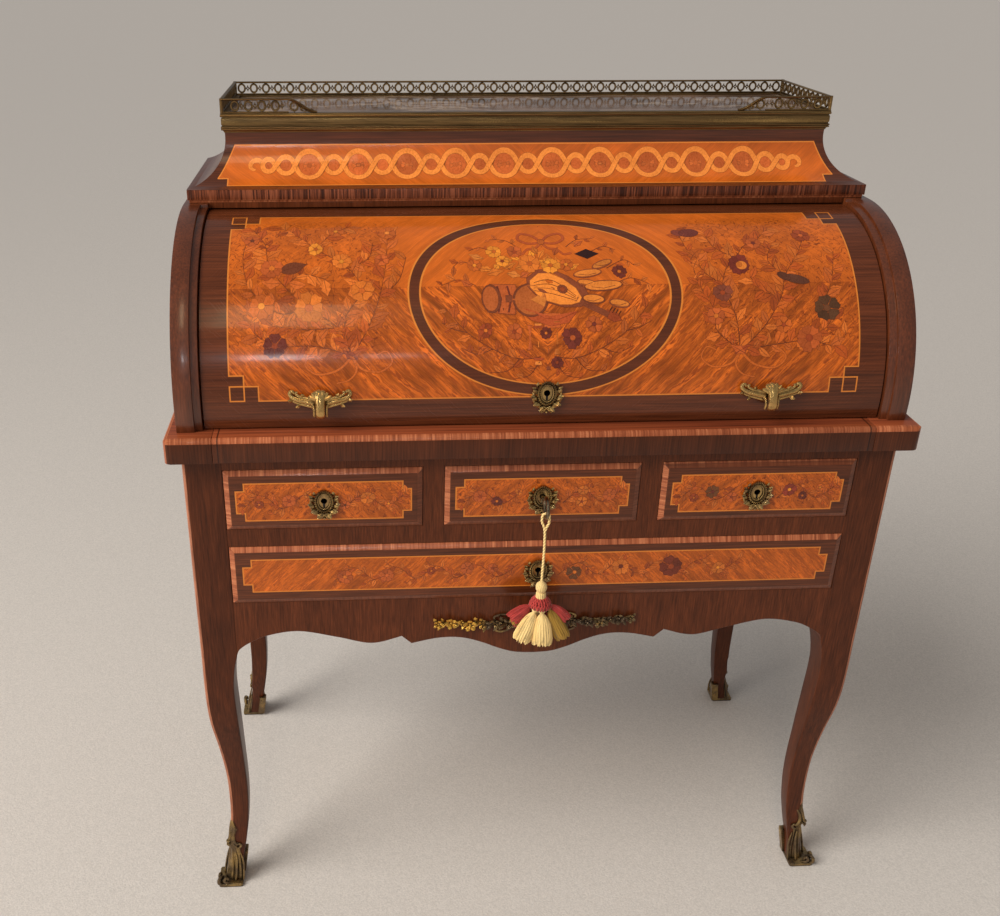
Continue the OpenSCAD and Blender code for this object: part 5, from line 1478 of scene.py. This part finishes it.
def lay_trophy(work):
    """Lute, drum, shield, pipes, shells and flowers hung from a bow, inside the oval."""
    slip, strip = work.slip, work.strip
    for side in (-1, 1):
        for path, size in SPRIGS:
            work.stem(mirrored(path, side), size=size, gap=7.5)
        bow = [(0, 214), (10, 226), (24, 230), (28, 220), (16, 212), (0, 214)]
        strip(smooth(mirrored(bow, side), 5), 3.6, (186, 84, 38), 0.2, 0.4)
        tail = [(0, 213), (8, 204), (18, 202), (26, 194), (36, 196)]
        strip(smooth(mirrored(tail, side), 5), 3.2, (190, 88, 38), 0.18, 0.4)
    strip([(0, 206), (0, 246)], 1.2, INK, 0.1)
    slip(ellipse(0, 215, 4.5, 5.5), ORANGE, 0.32)
    for x, low, high, wide, rgb in ((-11, 52, 102, 8, CREAM), (11.5, 64, 104, 7, AMBER),
            (6, 96, 114, 20, TAN), (1, 46, 92, 5, BROWN), (-21, 70, 100, 5, TAN)):
        box = [(x - wide / 2, low), (x + wide / 2, low), (x + wide / 2, high), (x - wide / 2, high)]
        slip(box, rgb, 0.16, 0.9)
    for s in (58, 96):
        slip([(-17, s), (-5, s), (-5, s + 3), (-17, s + 3)], RUSSET, 0.22, 0.4)
    slip(ellipse(-19, 131, 21.5, 21.5, steps=28), BROWN, 0.17)
    slip(ellipse(-19, 131, 19, 19, steps=28), (204, 106, 46), 0.22, 0.5)
    slip([(-19, 131), (-3, 122), (0, 131), (-3, 141)], CREAM, 0.27, 0.4)
    drum = [(-72, 116), (-38, 112), (-34, 131), (-36, 151), (-68, 152)]
    slip(drum, (196, 94, 42), 0.18, 1.6)
    for x in (-46, -58):
        strip([(x, 115.5), (x + 3.5, 132), (x - 0.5, 149)], 2.2, PLUM, 0.25, 0.4)
    for k in range(4):
        strip([(-66 + 7 * k, 118), (-62 + 7 * k, 148), (-59 + 7 * k, 118)], 0.7, BROWN, 0.24)
    slip(ellipse(-66, 133, 12, 18.5, 4), BROWN, 0.26)
    slip(ellipse(-67, 133, 9.6, 16, 4), (206, 104, 46), 0.3, 0.5)
    slip([(-49, 128), (-41, 128), (-41, 137), (-49, 137)], BROWN, 0.31)
    neck = [(38, 134), (76, 114), (72, 108), (35, 127)]
    slip(neck, BROWN, 0.24)
    slip([(72, 118), (86, 112), (90, 104), (80, 102), (72, 107)], RUSSET, 0.27)
    for k in range(4):
        a = (75 + 3.4 * k, 115 - 1.8 * k)
        strip([a, (a[0] + 4, a[1] + 6)], 1.2, INK, 0.29)
    body = [(-19, 156), (-8, 166), (6, 166), (22, 158), (37, 145), (43, 133), (40, 127), (31, 124), (16, 124),
        (0, 129), (-12, 138), (-19, 147)]
    slip([(u * 1.24 + 1, (v - 145) * 1.2 + 146) for u, v in body], BROWN, 0.24, 1)
    slip(body, (236, 136, 52), 0.3, 1)
    for k in range(4):
        strip(smooth([(-14, 153 - 3.5 * k), (8, 156 - 6 * k), (36, 135 - 2 * k)], 5), 0.6, BROWN, 0.37)
    slip([(-34, 122), (-20, 106), (4, 98), (26, 102), (37, 116), (30, 113), (14, 106), (-4, 108), (-20, 118)],
        (176, 78, 36), 0.21, 0.8)
    for k in range(22):
        u, v = -74 + 5.1 * k + work.rng.uniform(-4, 4), 170 + 22 * sin(pi * k / 21) * work.rng.random()
        work.leaf(u, v, work.rng.uniform(11, 18), 7.5, work.rng.uniform(10, 170),
            work.rng.choice((YELLOW, AMBER, (230, 128, 44), (222, 120, 40))), 2, 0.05, 0.17)
    slip(ellipse(20, 144, 6.5, 5.6, -27), BROWN, 0.38)
    slip(ellipse(20, 144, 3.6, 3, -27), RUSSET, 0.4)
    slip(leaf_outline(-10, 145, 14, 4, -27), BROWN, 0.37, 0.4)
    for x, s, rx, ry, turn in ((57, 131, 14, 6.4, -6), (88, 125, 13, 5.6, -10), (70, 148, 24, 7.5, 4),
            (52, 165, 18, 6, 8), (71, 178, 14, 5.5, 24), (50, 152, 12, 5, -8)):
        slip(ellipse(x, s, rx, ry, turn), BROWN, 0.2, 0.4)
        slip(ellipse(x, s + 0.4, rx - 1.4, ry - 1.4, turn), (226, 130, 50), 0.3, 0.5)
        strip([(x - rx * 0.6, s - ry * 0.2), (x, s - ry * 0.45), (x + rx * 0.6, s + 0.2)], 0.6, BROWN, 0.36)
    slip([(39, 194), (54, 202), (69, 194), (54, 186)], (52, 24, 20), 0.3)
    for x, s, r, rgb, eye, petals in ((-59, 199, 10, YELLOW, ORANGE, 6), (-50, 184, 9, YELLOW, RUSSET, 5),
            (-17, 180, 14, AMBER, ORANGE, 7), (8, 177, 12, YELLOW, ORANGE, 6),
            (27, 178, 9, ORANGE, YELLOW, 5),
            (91, 167, 9, PLUM, AMBER, 5), (30, 84, 13, PLUM, TAN, 6), (-2, 90, 7, PLUM, AMBER, 5),
            (11, 55, 8, PLUM, RUSSET, 5), (-40, 92, 10, TAN, RUSSET, 6), (-34, 198, 10, TAN, RUSSET, 5),
            (-84, 178, 9, ORANGE, YELLOW, 5), (56, 100, 10, TAN, PLUM, 5), (-74, 94, 9, RUSSET, AMBER, 5)):
        work.flower(x, s, r, rgb, eye, petals)
    for x, s, long, wide, turn, rgb in ((-72, 188, 20, 8, 158, CREAM), (-70, 165, 22, 10, 12, AMBER),
            (-46, 166, 18, 9, -14, CREAM), (-30, 160, 14, 8, 30, TAN), (-88, 150, 16, 8, 150, TAN),
            (40, 206, 16, 7, 40, TAN), (-6, 194, 15, 7, 110, AMBER), (14, 192, 15, 7, 66, TAN)):
        work.leaf(x, s, long, wide, turn, rgb, 2, 0.05, 0.19)


def lay_cylinder():
    work = Inlay("cylinder_marquetry", cylinder_lay, 5, clear_of_band)
    for stems in (LEFT_STEMS, RIGHT_STEMS):
        for path in stems:
            work.stem(path, size=19, gap=4.6)
    for side in (-1, 1):
        for path in SCROLLS:
            band = smooth(mirrored(path, side), 6)
            work.strip(band, [3.4 - 1.8 * k / len(band) for k in range(len(band))], (212, 106, 36), 0.15, 0.5)
        work.leaf(side * 226, 62, 22, 9, 90 - side * 60, RUSSET, 2)
        work.leaf(side * 240, 62, 22, 9, 90 + side * 60, TAN, 2)
    for x, s, r, rgb, eye, petals in ((-275, 206, 10, YELLOW, ORANGE, 5), (-244, 186, 12, AMBER, YELLOW, 6),
            (-188, 235, 12, ORANGE, CREAM, 5), (-251, 239, 10, ORANGE, YELLOW, 5),
            (-327, 177, 14, TAN, AMBER, 6),
            (-220, 145, 14, AMBER, ORANGE, 5), (-283, 124, 19, AMBER, TAN, 7),
            (-339, 127, 16, ORANGE, YELLOW, 6),
            (-324, 79, 14, PLUM, RUSSET, 5), (-196, 188, 9, TAN, RUSSET, 5), (-352, 222, 10, TAN, WALNUT, 5),
            (239, 175, 15, (128, 52, 36), AMBER, 6), (214, 137, 12, (138, 70, 46), RUSSET, 5),
            (340, 116, 16, (92, 58, 34), (104, 62, 36), 5),
            (317, 80, 17, TAN, RUSSET, 7), (204, 108, 11, TAN, AMBER, 5), (263, 209, 10, TAN, PLUM, 5),
            (326, 222, 11, RUSSET, TAN, 5), (286, 96, 10, ORANGE, RUSSET, 5)):
        work.flower(x, s, r, rgb, eye, petals)
    work.leaf(-318, 172, 34, 17, 18, WALNUT, 0, 0, 0.2)
    for x, s, rx, ry, turn, rgb in ((186, 229, 13, 8, 6, (122, 56, 44)), (173, 229, 9, 6, -20, (132, 62, 46)),
            (306, 154, 17, 6, -14, (98, 56, 38)), (292, 158, 9, 5, -30, (104, 58, 38)),
            (242, 174, 7, 6.4, 0, (226, 128, 48))):
        work.slip(ellipse(x, s, rx, ry, turn), rgb, 0.3)
    lay_trophy(work)
    work.made("cylinder")


class BUREAU_OT_cylinder_marquetry(bpy.types.Operator):
    """Lays the two floral sprays and the trophy of instruments into the cylinder"""

    bl_idname = "bureau.cylinder_marquetry"
    bl_label = "Cylinder Marquetry"

    def execute(self, context):
        lay_cylinder()
        return {"FINISHED"}


# One row for each flower of a drawer: x, height off the middle, radius, colour, eye, petals
FLOWERS = {
    "left": ((-315, 1, 9, TAN, RUSSET, 6), (-218, 4, 9, AMBER, ORANGE, 5), (-352, -3, 6, RUSSET, AMBER, 5),
        (-246, -6, 6, TAN, WALNUT, 5), (-192, -5, 6, ORANGE, YELLOW, 5), (-292, 9, 5, AMBER, RUSSET, 5)),
    "centre": ((-78, 2, 9, TAN, RUSSET, 6), (-57, -5, 7, PLUM, AMBER, 5), (51, 8, 7, AMBER, ORANGE, 5),
        (50, -8, 7, AMBER, RUSSET, 5), (84, 1, 9, TAN, ORANGE, 6), (-30, 8, 5, AMBER, RUSSET, 5)),
    "right": ((215, 2, 9, OLIVE, PLUM, 4), (313, 3, 9, (150, 60, 40), YELLOW, 5),
    (331, -6, 6, PLUM, AMBER, 5),
        (240, -6, 7, TAN, RUSSET, 5), (352, 5, 6, ORANGE, YELLOW, 5), (192, -6, 6, RUSSET, AMBER, 5)),
    "long": ((-249, -4, 10, TAN, AMBER, 6), (-195, -3, 10, (188, 90, 38), TAN, 6),
    (-138, 2, 6, RUSSET, AMBER, 5),
        (-92, 5, 9, (190, 92, 40), TAN, 5), (-59, 4, 7, TAN, RUSSET, 5), (48, -5, 10, OLIVE, AMBER, 4),
        (108, 2, 12, AMBER, (118, 50, 28), 7), (174, 0, 15, (122, 50, 28), RUSSET, 5),
        (236, -3, 9, AMBER, YELLOW, 5))}


def lay_drawers():
    for drawer, middle, centre_z, half in (("left", -SMALL_DRAWER_X, SMALL_Z, 101),
            ("centre", 0, SMALL_Z, 101),
            ("right", SMALL_DRAWER_X, SMALL_Z, 101), ("long", 0, LONG_KEYHOLE_Z, 262)):
        work = Inlay(drawer + "_marquetry", lambda x, v, lift, z=centre_z: (x, DRAWER_FACE - lift, z + v), 11)
        for side in (-1, 1):
            count = int((half - 26) / 25)
            path = [(middle + side * (26 + (half - 26) * k / count), side * (9 if k % 2 else -9))
                for k in range(count + 1)]
            work.stem(path, size=10.5, gap=4.2, steps=8, width=0.8)
            for k in range(1, count):
                x, v = path[k]
                tip = (x + side * 14, v * 1.9)
                work.stem([(x, v), (x + side * 7, v * 1.2), tip], size=7.5, gap=4, width=0.6)
        for x, v, r, rgb, eye, petals in FLOWERS[drawer]:
            work.flower(x, v, r, rgb, eye, petals, turn=17 * r)
        work.made(drawer + "_drawer")


class BUREAU_OT_drawer_marquetry(bpy.types.Operator):
    """Lays the trailing flowers into the four drawer fronts"""

    bl_idname = "bureau.drawer_marquetry"
    bl_label = "Drawer Marquetry"

    def execute(self, context):
        lay_drawers()
        return {"FINISHED"}


def lay_frieze():
    middle_t = 36.6

    def lay(x, v, lift):
        a = (middle_t - v * 1.12) / HOLLOW_R
        radius = HOLLOW_R - lift
        return x, 5.15 + radius * cos(a), NECK - radius * sin(a)

    work = Inlay("frieze_marquetry", lay, 3)
    rings = [(31.65 * k, 16.6 if k % 2 else 10.4) for k in range(-9, 10)]
    rings = [(-337.5, 7.6), (-315, 10.4)] + rings + [(315, 10.4), (337.5, 7.6)]
    for x, r in rings:
        work.slip(ellipse(x, 0, r - 3.1, r - 3.1, steps=24), (212, 104, 46), 0.08, 0.3)
        if r > 15:
            work.flower(x, 0, 8.6, (216, 110, 50), (224, 126, 62), 8, turn=10)
            work.slip(ellipse(x, 0, 3.4, 3.4, steps=10), (196, 98, 44), 0.36, 0.3)
    for strand in (1, -1):
        path, lifts = [], []
        for i, (x, r) in enumerate(rings):
            over = strand * (1 if i % 2 else -1)
            before = acos((r + rings[i - 1][1]) / (x - rings[i - 1][0])) if i else 0
            after = acos((r + rings[i + 1][1]) / (rings[i + 1][0] - x)) if i < len(rings) - 1 else 0
            for k in range(13):
                a = (pi - before) + (after - (pi - before)) * k / 12
                path.append((x + r * cos(a), over * r * sin(a)))
                lifts.append(0.24 - 0.08 * over * (2 * k / 12 - 1))
        curl = [(strand * (345.1 + 8 + 8 * cos(a)), 7.5 * sin(a) * (1 - 0.25 * j / 9))
            for j, a in enumerate([pi * (1 - j / 9 * 1.45) for j in range(10)])]
        work.strip(curl, [6.2] * 7 + [5.4, 4.2, 3], (255, 150, 64), 0.2, 0.3)
        work.strip(path, 6.8, (255, 150, 64), lifts, 0.5)
    work.made("carcass")


class BUREAU_OT_frieze_marquetry(bpy.types.Operator):
    """Laces the two interwoven strands round the rosettes of the frieze"""

    bl_idname = "bureau.frieze_marquetry"
    bl_label = "Frieze Guilloche"

    def execute(self, context):
        lay_frieze()
        return {"FINISHED"}


# Top: frieze, brass edge and gallery


def mitred(name, profile, half, front, back, back_moves=True, closed=False):
    """A moulding run round a rectangle and mitred; profile points are (distance in, height)."""
    rows = [[(inset - half, front + inset, z), (half - inset, front + inset, z),
        (half - inset, back - (inset if back_moves else 0), z),
        (inset - half, back - (inset if back_moves else 0), z)] for inset, z in profile]
    if closed:
        return skin(name, rows + [rows[0]], wrap=True)
    return skin(name, rows, wrap=True, caps=True)


class BUREAU_OT_frieze(bpy.types.Operator):
    """Shapes the hollow frieze below the brass edge"""

    bl_idname = "bureau.frieze"
    bl_label = "Hollow Frieze"

    def execute(self, context):
        foot = acos((HOLLOW_R - FRIEZE_IN) / HOLLOW_R)
        hollow = [(FRIEZE_IN - HOLLOW_R * (1 - cos(a)), NECK - HOLLOW_R * sin(a))
            for a in [foot * (1 - k / 28) for k in range(29)]]
        profile = [(0, FRIEZE_LOW), (0, FRIEZE_LOW + 0.2)] + hollow[1:] + [(FRIEZE_IN, FRIEZE_TOP)]
        frieze = mitred("frieze_veneered", profile, CORNICE_HALF, CORNICE_Y, UPPER_BACK, back_moves=False)
        dressed(frieze, "carcass", "frieze_veneer", "marquetry", "hollow_frieze", smooth=25)
        return {"FINISHED"}


def run_gallery(context):
    pitch = context.scene.bureau_sizes.ring_pitch / MM
    profile = [(4, 0), (3.9, 1.2), (3.2, 2.4), (2, 2.9), (1.4, 3), (0.9, 3.5), (0.8, 4.2), (1.2, 4.9),
        (1.7, 5.2), (0.9, 5.5), (0.6, 6.2), (0.8, 7), (1.5, 7.6), (2.3, 7.8), (2.3, 9.2), (1.5, 9.7),
        (1.4, 10.4), (1.5, 17), (1.7, 17.6), (2.5, 18), (2.5, 19), (1.5, 19.3), (0.7, 19.9),
        (0.4, 20.8), (0.7, 21.7), (1.2, 22.2), (1, 22.5), (1, 23.7), (1.3, 24), (10, 24),
        (10, 0)]
    edge = mitred("brass_moulding", [(d, FRIEZE_TOP + h) for d, h in profile], BRASS_HALF, BRASS_FRONT,
        BRASS_BACK, closed=True)
    dressed(edge, "carcass", "old_brass", "old_brass", "brass_edge", smooth=28)

    low, rail_mid, mid = BRASS_TOP, BRASS_TOP + 16.7, BRASS_TOP + 8.7
    ring = hoop("ring", oval(4.6, 5.5, 0, turns(20)), 1.35, sides=6)
    lobes = [(8.55 + (1.55 + 0.45 * cos(4 * a)) * cos(a), (1.9 + 0.45 * cos(4 * a)) * sin(a), 0)
        for a in turns(12)]
    parts = [ring, hoop("bead", lobes, 0.8, sides=5)]
    for path in ([(5.6, 0, 0), (7, 0, 0)], [(10.1, 0, 0), (11.5, 0, 0)], [(0, 6.4, 0), (0, 8.4, 0)],
            [(0, -6.4, 0), (0, -8.4, 0)], [(8.55, 2.2, 0), (8.55, 4, 0)], [(8.55, -2.2, 0),
            (8.55, -4, 0)]):
        parts.append(tube("wire", path, 0.75, sides=5))
    cell = joined("cell", parts)

    line_x, front, back = BRASS_HALF - 3.2, BRASS_FRONT + 3.2, BRASS_BACK - 3.2
    upright = Matrix.Rotation(pi / 2, 4, "X")
    runs = [((-line_x, back), 0, 2 * line_x), ((line_x, front), 90, back - front),
        ((-line_x, front), 90, back - front), ((line_x, front), 180, 85), ((-line_x, front), 0, 85)]
    places, rails = [], []
    for (x, y), turn, run in runs:
        count = int(run // pitch)
        start = (run - (count - 1) * pitch) / 2
        way = Matrix.Translation(Vector((x, y, mid)) * MM) @ Matrix.Rotation(radians(turn), 4, "Z")
        places += [way @ Matrix.Translation(((start + k * pitch) * MM, 0, 0)) @ upright for k in range(count)]
        ahead = Vector((cos(radians(turn)), sin(radians(turn)), 0))
        for height, wide, tall in ((rail_mid, 2.2, 1.3), (low + 1, 1.3, 1)):
            begin = Vector((x, y, height))
            rails.append(tube("rail", [begin, begin + ahead * run], wide, sides=12, flat=tall / wide,
                flat_way=(0, 0, 1)))
    for side in (-1, 1):
        for along, share in ((7, 0.88), (20.5, 0.45)):
            way = Matrix.Translation(Vector((side * (line_x - 85 - along), front,
                low + 0.6 + 8.1 * share)) * MM)
            places.append(way @ upright @ Matrix.Diagonal((1, share, 1, 1)))
    rings = copied("rings", cell, places)
    for side in (-1, 1):
        for drop in (0, 3):
            path = [(side * (line_x - 85 - 36 * k / 10), front, low + 1.3 + 15.2
                * (1 + cos(pi * k / 10)) / 2 - drop * sin(pi * k / 10)) for k in range(11)]
            rails.append(tube("slope", path, 1.5 if drop else 2, sides=8, flat=0.7, flat_way=(0, 0, 1)))
        for y in (front, back):
            rails.append(tube("post", [(side * line_x, y, low), (side * line_x, y, low + 18)], 2.2,
                sides=12))
    gallery = joined("pierced_gallery", [rings] + rails)
    dressed(gallery, "carcass", "old_brass", "old_brass", "gallery", smooth=45)


class BUREAU_OT_gallery(bpy.types.Operator):
    """Runs the brass edge moulding and the pierced gallery above it"""

    bl_idname = "bureau.gallery"
    bl_label = "Brass Edge and Gallery"

    def execute(self, context):
        run_gallery(context)
        return {"FINISHED"}


# Mounts


def keyhole(angles):
    """A keyhole's outline: a round top with a slot below."""
    ring = []
    for x, y in [(cos(a), sin(a)) for a in angles]:
        in_slot = y < 0 and abs(x) < 0.42
        ring.append((x * 4, -9.2 if abs(x) < 0.36 else -4) if in_slot else (3.9 * x, 3.9 * y))
    return ring


def escutcheon(beads):
    """The oval keyhole plate in its wreath of leaves, flat at z = 0 and facing +Z."""
    ring, fine = turns(48), turns(beads * 5)
    hole = keyhole(ring)
    rows = [oval(10.2, 13.4, 0, ring), oval(10.2, 13.4, 2.2, ring), oval(9, 12, 2.4, ring),
        oval(7.6, 10.4, 0.8, ring),
        [(x * 0.5 + 3.4 * cos(a), y * 0.5 + 4.8 * sin(a), 1.1) for (x, y), a in zip(hole, ring)],
        [(x, y, 1) for x, y in hole], [(x, y, 0) for x, y in hole]]
    parts = [skin("plate", rows, wrap=True),
        hoop("beaded_rim", oval(10.5, 13.8, 2.5, fine), [1.7 + 0.75 * cos(beads * a) for a in fine]),
        hoop("inner_rim", oval(7.9, 10.8, 2, ring), 0.85)]
    blade = leaf("blade", 8.6, 4.6, curl=0.3, lobes=2, thick=0.8)
    places = []
    for side in (-1, 1):
        for k in range(8):
            a = radians(-90 + side * (14 + 15 * k))
            x, y = 13.6 * cos(a), 16.8 * sin(a)
            turn = degrees(a) + side * (62 if k % 2 else 28)
            places.append(spin_matrix(x, y, 0.8 + 0.5 * (k % 2), turn, 10, 1.05 - 0.035 * k))
    parts.append(copied("wreath", blade, places))
    hook = [(9.5, -16.5, 1.2), (14.5, -12.5, 1.6), (17, -5.5, 1.8), (16.4, 1.5, 1.8), (14.2, 4.6, 1.6),
        (12.6, 2.6, 1.5), (13.6, 0.4, 1.4)]
    bow = [(0, -18.5, 2), (3.5, -16.8, 2.6), (6.6, -18.2, 2.4), (5.6, -21, 2), (1, -19.5, 2),
        (3.8, -23.2, 1.6), (6.4, -24.6, 1)]
    for side in (-1, 1):
        parts.append(tube("scroll", smooth(mirrored(hook, side), 4), 1.25, sides=6))
        parts.append(tube("ribbon", smooth(mirrored(bow, side), 4), 1.1, sides=6))
    for x, y in ((0, -18.6), (-3, -21.5), (3, -21.5), (0, -23.6), (-9, -17.2), (9, -17.2)):
        parts.append(ball("berry", 1.7, x, y, 1.9))
    return joined("escutcheon", parts)


class BUREAU_OT_escutcheons(bpy.types.Operator):
    """Casts the wreathed keyhole plates and pins them to the drawers and the cylinder"""

    bl_idname = "bureau.escutcheons"
    bl_label = "Escutcheons"

    def execute(self, context):
        model = escutcheon(context.scene.bureau_sizes.beads)
        places = {"left": on_drawer(-SMALL_DRAWER_X, LOCK_Z), "centre": on_drawer(0, LOCK_Z),
            "right": on_drawer(SMALL_DRAWER_X, LOCK_Z), "long": on_drawer(0, LONG_KEYHOLE_Z),
            "cylinder": on_cylinder(0, ESCUTCHEON_Z)}
        for place, matrix in places.items():
            body = place if place == "cylinder" else place + "_drawer"
            pinned(model, place + "_plate", matrix, body, "plate_bronze", place + "_escutcheon")
        bpy.data.objects.remove(model)
        return {"FINISHED"}


def cast_handles():
    # Stations of the tongue: distance out, height, half width, half thickness, petal depth
    tongue = smooth([(0.5, 7, 5.2, 4, 0), (4.5, 11, 6.4, 4, 0.03), (7.4, 14.2, 8, 4.4, 0.1),
        (9.4, 13.8, 8, 4.6, 0.1), (11.6, 9.4, 6.6, 4.8, 0.04), (13.4, 4.6, 5.8, 4.6, 0),
        (15, -0.6, 5.6, 4.2, 0), (16.2, -6, 5.6, 3.6, 0), (15.8, -11, 5.8, 2.8, 0),
        (13, -14, 5.4, 2.2, 0), (10, -13.8, 4.2, 1.6, 0)], 4)
    rows = []
    for i, (out, up, wide, thick, petal) in enumerate(tongue):
        before, after = tongue[max(i - 1, 0)], tongue[min(i + 1, len(tongue) - 1)]
        ahead = Vector((0, after[1] - before[1], after[0] - before[0])).normalized()
        normal = Vector((1, 0, 0)).cross(ahead)
        ring = []
        for a in turns(32):
            lobe = 1 + petal * cos(7 * a)
            ring.append(Vector((0, up, out)) + Vector((1, 0, 0)) * wide * lobe * cos(a)
                + normal * thick * lobe * sin(a))
        rows.append(ring)
    parts = [skin("tongue", rows, wrap=True, caps=True)]
    arms = (([(4, 1, 5), (9, 2, 6), (14, 3.2, 6.4), (21, 4.6, 6), (28, 6, 5.2), (33, 8.2, 4.6),
        (36, 12, 4.2),
        (34.6, 15.2, 4), (31.8, 15, 4), (31, 12.6, 4.2)], (5, 5, 4.6, 4, 3.6, 3.1, 2.6, 2.2, 1.9, 1.5)),
        ([(5, 5, 7), (11, 6.8, 8), (18, 8.2, 7.4), (24, 9.6, 6.6), (28, 12, 6), (28.6, 14.4, 5.4),
        (26.6, 14.8, 5.4)], (2.4, 2.2, 2, 1.8, 1.6, 1.4, 1)),
        ([(7, -3.5, 7), (12, -2.2, 7), (19, -0.6, 6.6), (26, 1.2, 5.6), (32, 3.6, 4.8), (36, 7.5, 4)],
        (2.4, 2.3, 2.1, 1.9, 1.6, 1.1)),
        ([(8, 2.2, 10.4), (15, 3.8, 10.2), (22, 5.2, 9.4), (29, 7.2, 8)], (1.1, 1.4, 1.2, 0.7)),
        ([(13, 2.5, 8), (9.2, 0.5, 10.5), (7.6, -3, 13), (7.4, -8, 14), (7.8, -13.5, 12.4)],
        (1.2, 1.5, 1.6, 1.6, 1.4)))
    for side in (-1, 1):
        parts += [branch("arm", mirrored(path, side), radii, sides=10, flat=0.8, flat_way=(0, 0, 1))
            for path, radii in arms]
        blade = leaf("blade", 7, 4, curl=0.3, lobes=2, thick=1)
        places = [spin_matrix(side * x, y, z, turn if side > 0 else 180 - turn, 12, 0.9)
            for x, y, z, turn in ((19, 9, 6.5, 58), (33, 3.5, 4.6, 20), (24, -1, 5.6, -20))]
        parts.append(copied("arm_leaves", blade, places))
    blade = leaf("blade", 12, 5.6, curl=0.1, lobes=1, thick=1.6)
    parts.append(copied("crown", blade, [spin_matrix(3.4 * sin(radians(t)), 7.4, 14.6, 90 - t, -16, 1)
        for t in (-66, -40, -13, 13, 40, 66)]))
    model = joined("handle", parts)
    for side, x in (("left", -SMALL_DRAWER_X), ("right", SMALL_DRAWER_X)):
        pinned(model, "handle_" + side, on_cylinder(x, HANDLE_Z), "cylinder", "gilt",
            "cylinder_handle_" + side)
    bpy.data.objects.remove(model)


class BUREAU_OT_handles(bpy.types.Operator):
    """Casts the two leafy handles of the cylinder"""

    bl_idname = "bureau.handles"
    bl_label = "Cylinder Handles"

    def execute(self, context):
        cast_handles()
        return {"FINISHED"}


def cast_garland():
    rng = random.Random(21)
    half, z0, drop = 134, 460.6, 2.5
    plane = Matrix(((1, 0, 0, 0), (0, 0, -1, CASE_FRONT * MM), (0, 1, 0, 0), (0, 0, 0, 1)))

    def line(x):
        return z0 - drop * (1 - (x / half) ** 2)

    stem = [(x, line(x) + 1.6 * sin(x * 0.16), 1.6) for x in [half * (k / 60) * 0.97 for k in range(-60, 61)]]
    parts = [tube("stem", stem, 1.2, sides=6)]
    blade = leaf("blade", 13, 5, curl=0.26, lobes=3, thick=0.8)
    petal = leaf("petal", 6.4, 5.2, curl=0.4, lobes=1, thick=0.8)
    leaves, petals, eyes = [], [], []
    for side in (-1, 1):
        for k in range(26):
            x = side * (20 + (half - 24) * k / 25)
            size = 1.12 - 0.014 * k
            turn = rng.uniform(10, 80) * (1 if k % 2 else -1)
            leaves.append(spin_matrix(x, line(x) + rng.uniform(-1, 1), 1 + rng.uniform(0, 0.8),
                (turn if side > 0 else 180 - turn), rng.uniform(6, 20), size))
        for x, size in ((50, 1.2), (68, 1.4), (86, 1.6), (98, 0.8), (111, 1.5), (128, 1.2)):
            centre = (side * x, line(x) + rng.uniform(-2, 2), 2.2)
            eyes.append((centre, size))
            turn = rng.uniform(0, 72)
            petals += [spin_matrix(*centre, turn + 72 * n, 18, size) for n in range(5)]
        loop = [(side * x, line(x) + dz, 2.4) for x, dz in ((20, 0), (30, 10), (42, 13), (54, 9), (50, 1),
            (38, -3), (32, -9), (44, -14), (54, -11))]
        parts.append(tube("ribbon", smooth(loop, 5), 1.5, sides=6, flat=0.6, flat_way=(0, 0, 1)))
    parts += [copied("leaves", blade, leaves), copied("petals", petal, petals)]
    for (x, y, z), size in eyes:
        parts.append(ball("eye", 1.6 * size, x, y, z + 1.2))
    knot = [(18 * cos(t) * 0.8, line(0) + 13 * sin(t), 2.4) for t in turns(32)]
    parts.append(hoop("wreath", knot, 1.6, sides=6))
    garland = joined("garland", parts)
    garland.data.transform(plane)
    dressed(garland, "carcass", "garland", "gilt_brass", "apron_mount", smooth=50)


class BUREAU_OT_garland(bpy.types.Operator):
    """Casts the garland of flowers and leaves on the apron"""

    bl_idname = "bureau.garland"
    bl_label = "Apron Garland"

    def execute(self, context):
        cast_garland()
        return {"FINISHED"}


class BUREAU_PT_panel(bpy.types.Panel):
    """Shows the bureau's sizes and colours, and a button for each building step"""

    bl_label = "Bureau"
    bl_idname = "BUREAU_PT_panel"
    bl_space_type = "VIEW_3D"
    bl_region_type = "UI"
    bl_category = "Bureau"

    def draw(self, context):
        for group in (context.scene.bureau_sizes, context.scene.bureau_colours):
            column = self.layout.column(align=True)
            for name in group.__annotations__:
                column.prop(group, name)
        column = self.layout.column(align=True)
        for step in STEPS:
            column.operator(step.bl_idname)


STEPS = (BUREAU_OT_finishes, BUREAU_OT_stage, BUREAU_OT_tassel, BUREAU_OT_legs, BUREAU_OT_shoes,
    BUREAU_OT_case,
    BUREAU_OT_drawer_fronts, BUREAU_OT_cylinder, BUREAU_OT_frieze, BUREAU_OT_cylinder_marquetry,
    BUREAU_OT_drawer_marquetry, BUREAU_OT_frieze_marquetry, BUREAU_OT_gallery, BUREAU_OT_escutcheons,
    BUREAU_OT_handles, BUREAU_OT_garland)
CLASSES = (BureauSizes, BureauColours, *STEPS, BUREAU_PT_panel)


def register():
    for cls in CLASSES:
        bpy.utils.register_class(cls)
    bpy.types.Scene.bureau_sizes = bpy.props.PointerProperty(type=BureauSizes)
    bpy.types.Scene.bureau_colours = bpy.props.PointerProperty(type=BureauColours)


def unregister():
    del bpy.types.Scene.bureau_colours
    del bpy.types.Scene.bureau_sizes
    for cls in reversed(CLASSES):
        bpy.utils.unregister_class(cls)


def main():
    register()
    for step in STEPS:
        group, name = step.bl_idname.split(".")
        getattr(getattr(bpy.ops, group), name)()


if __name__ == "__main__":
    main()
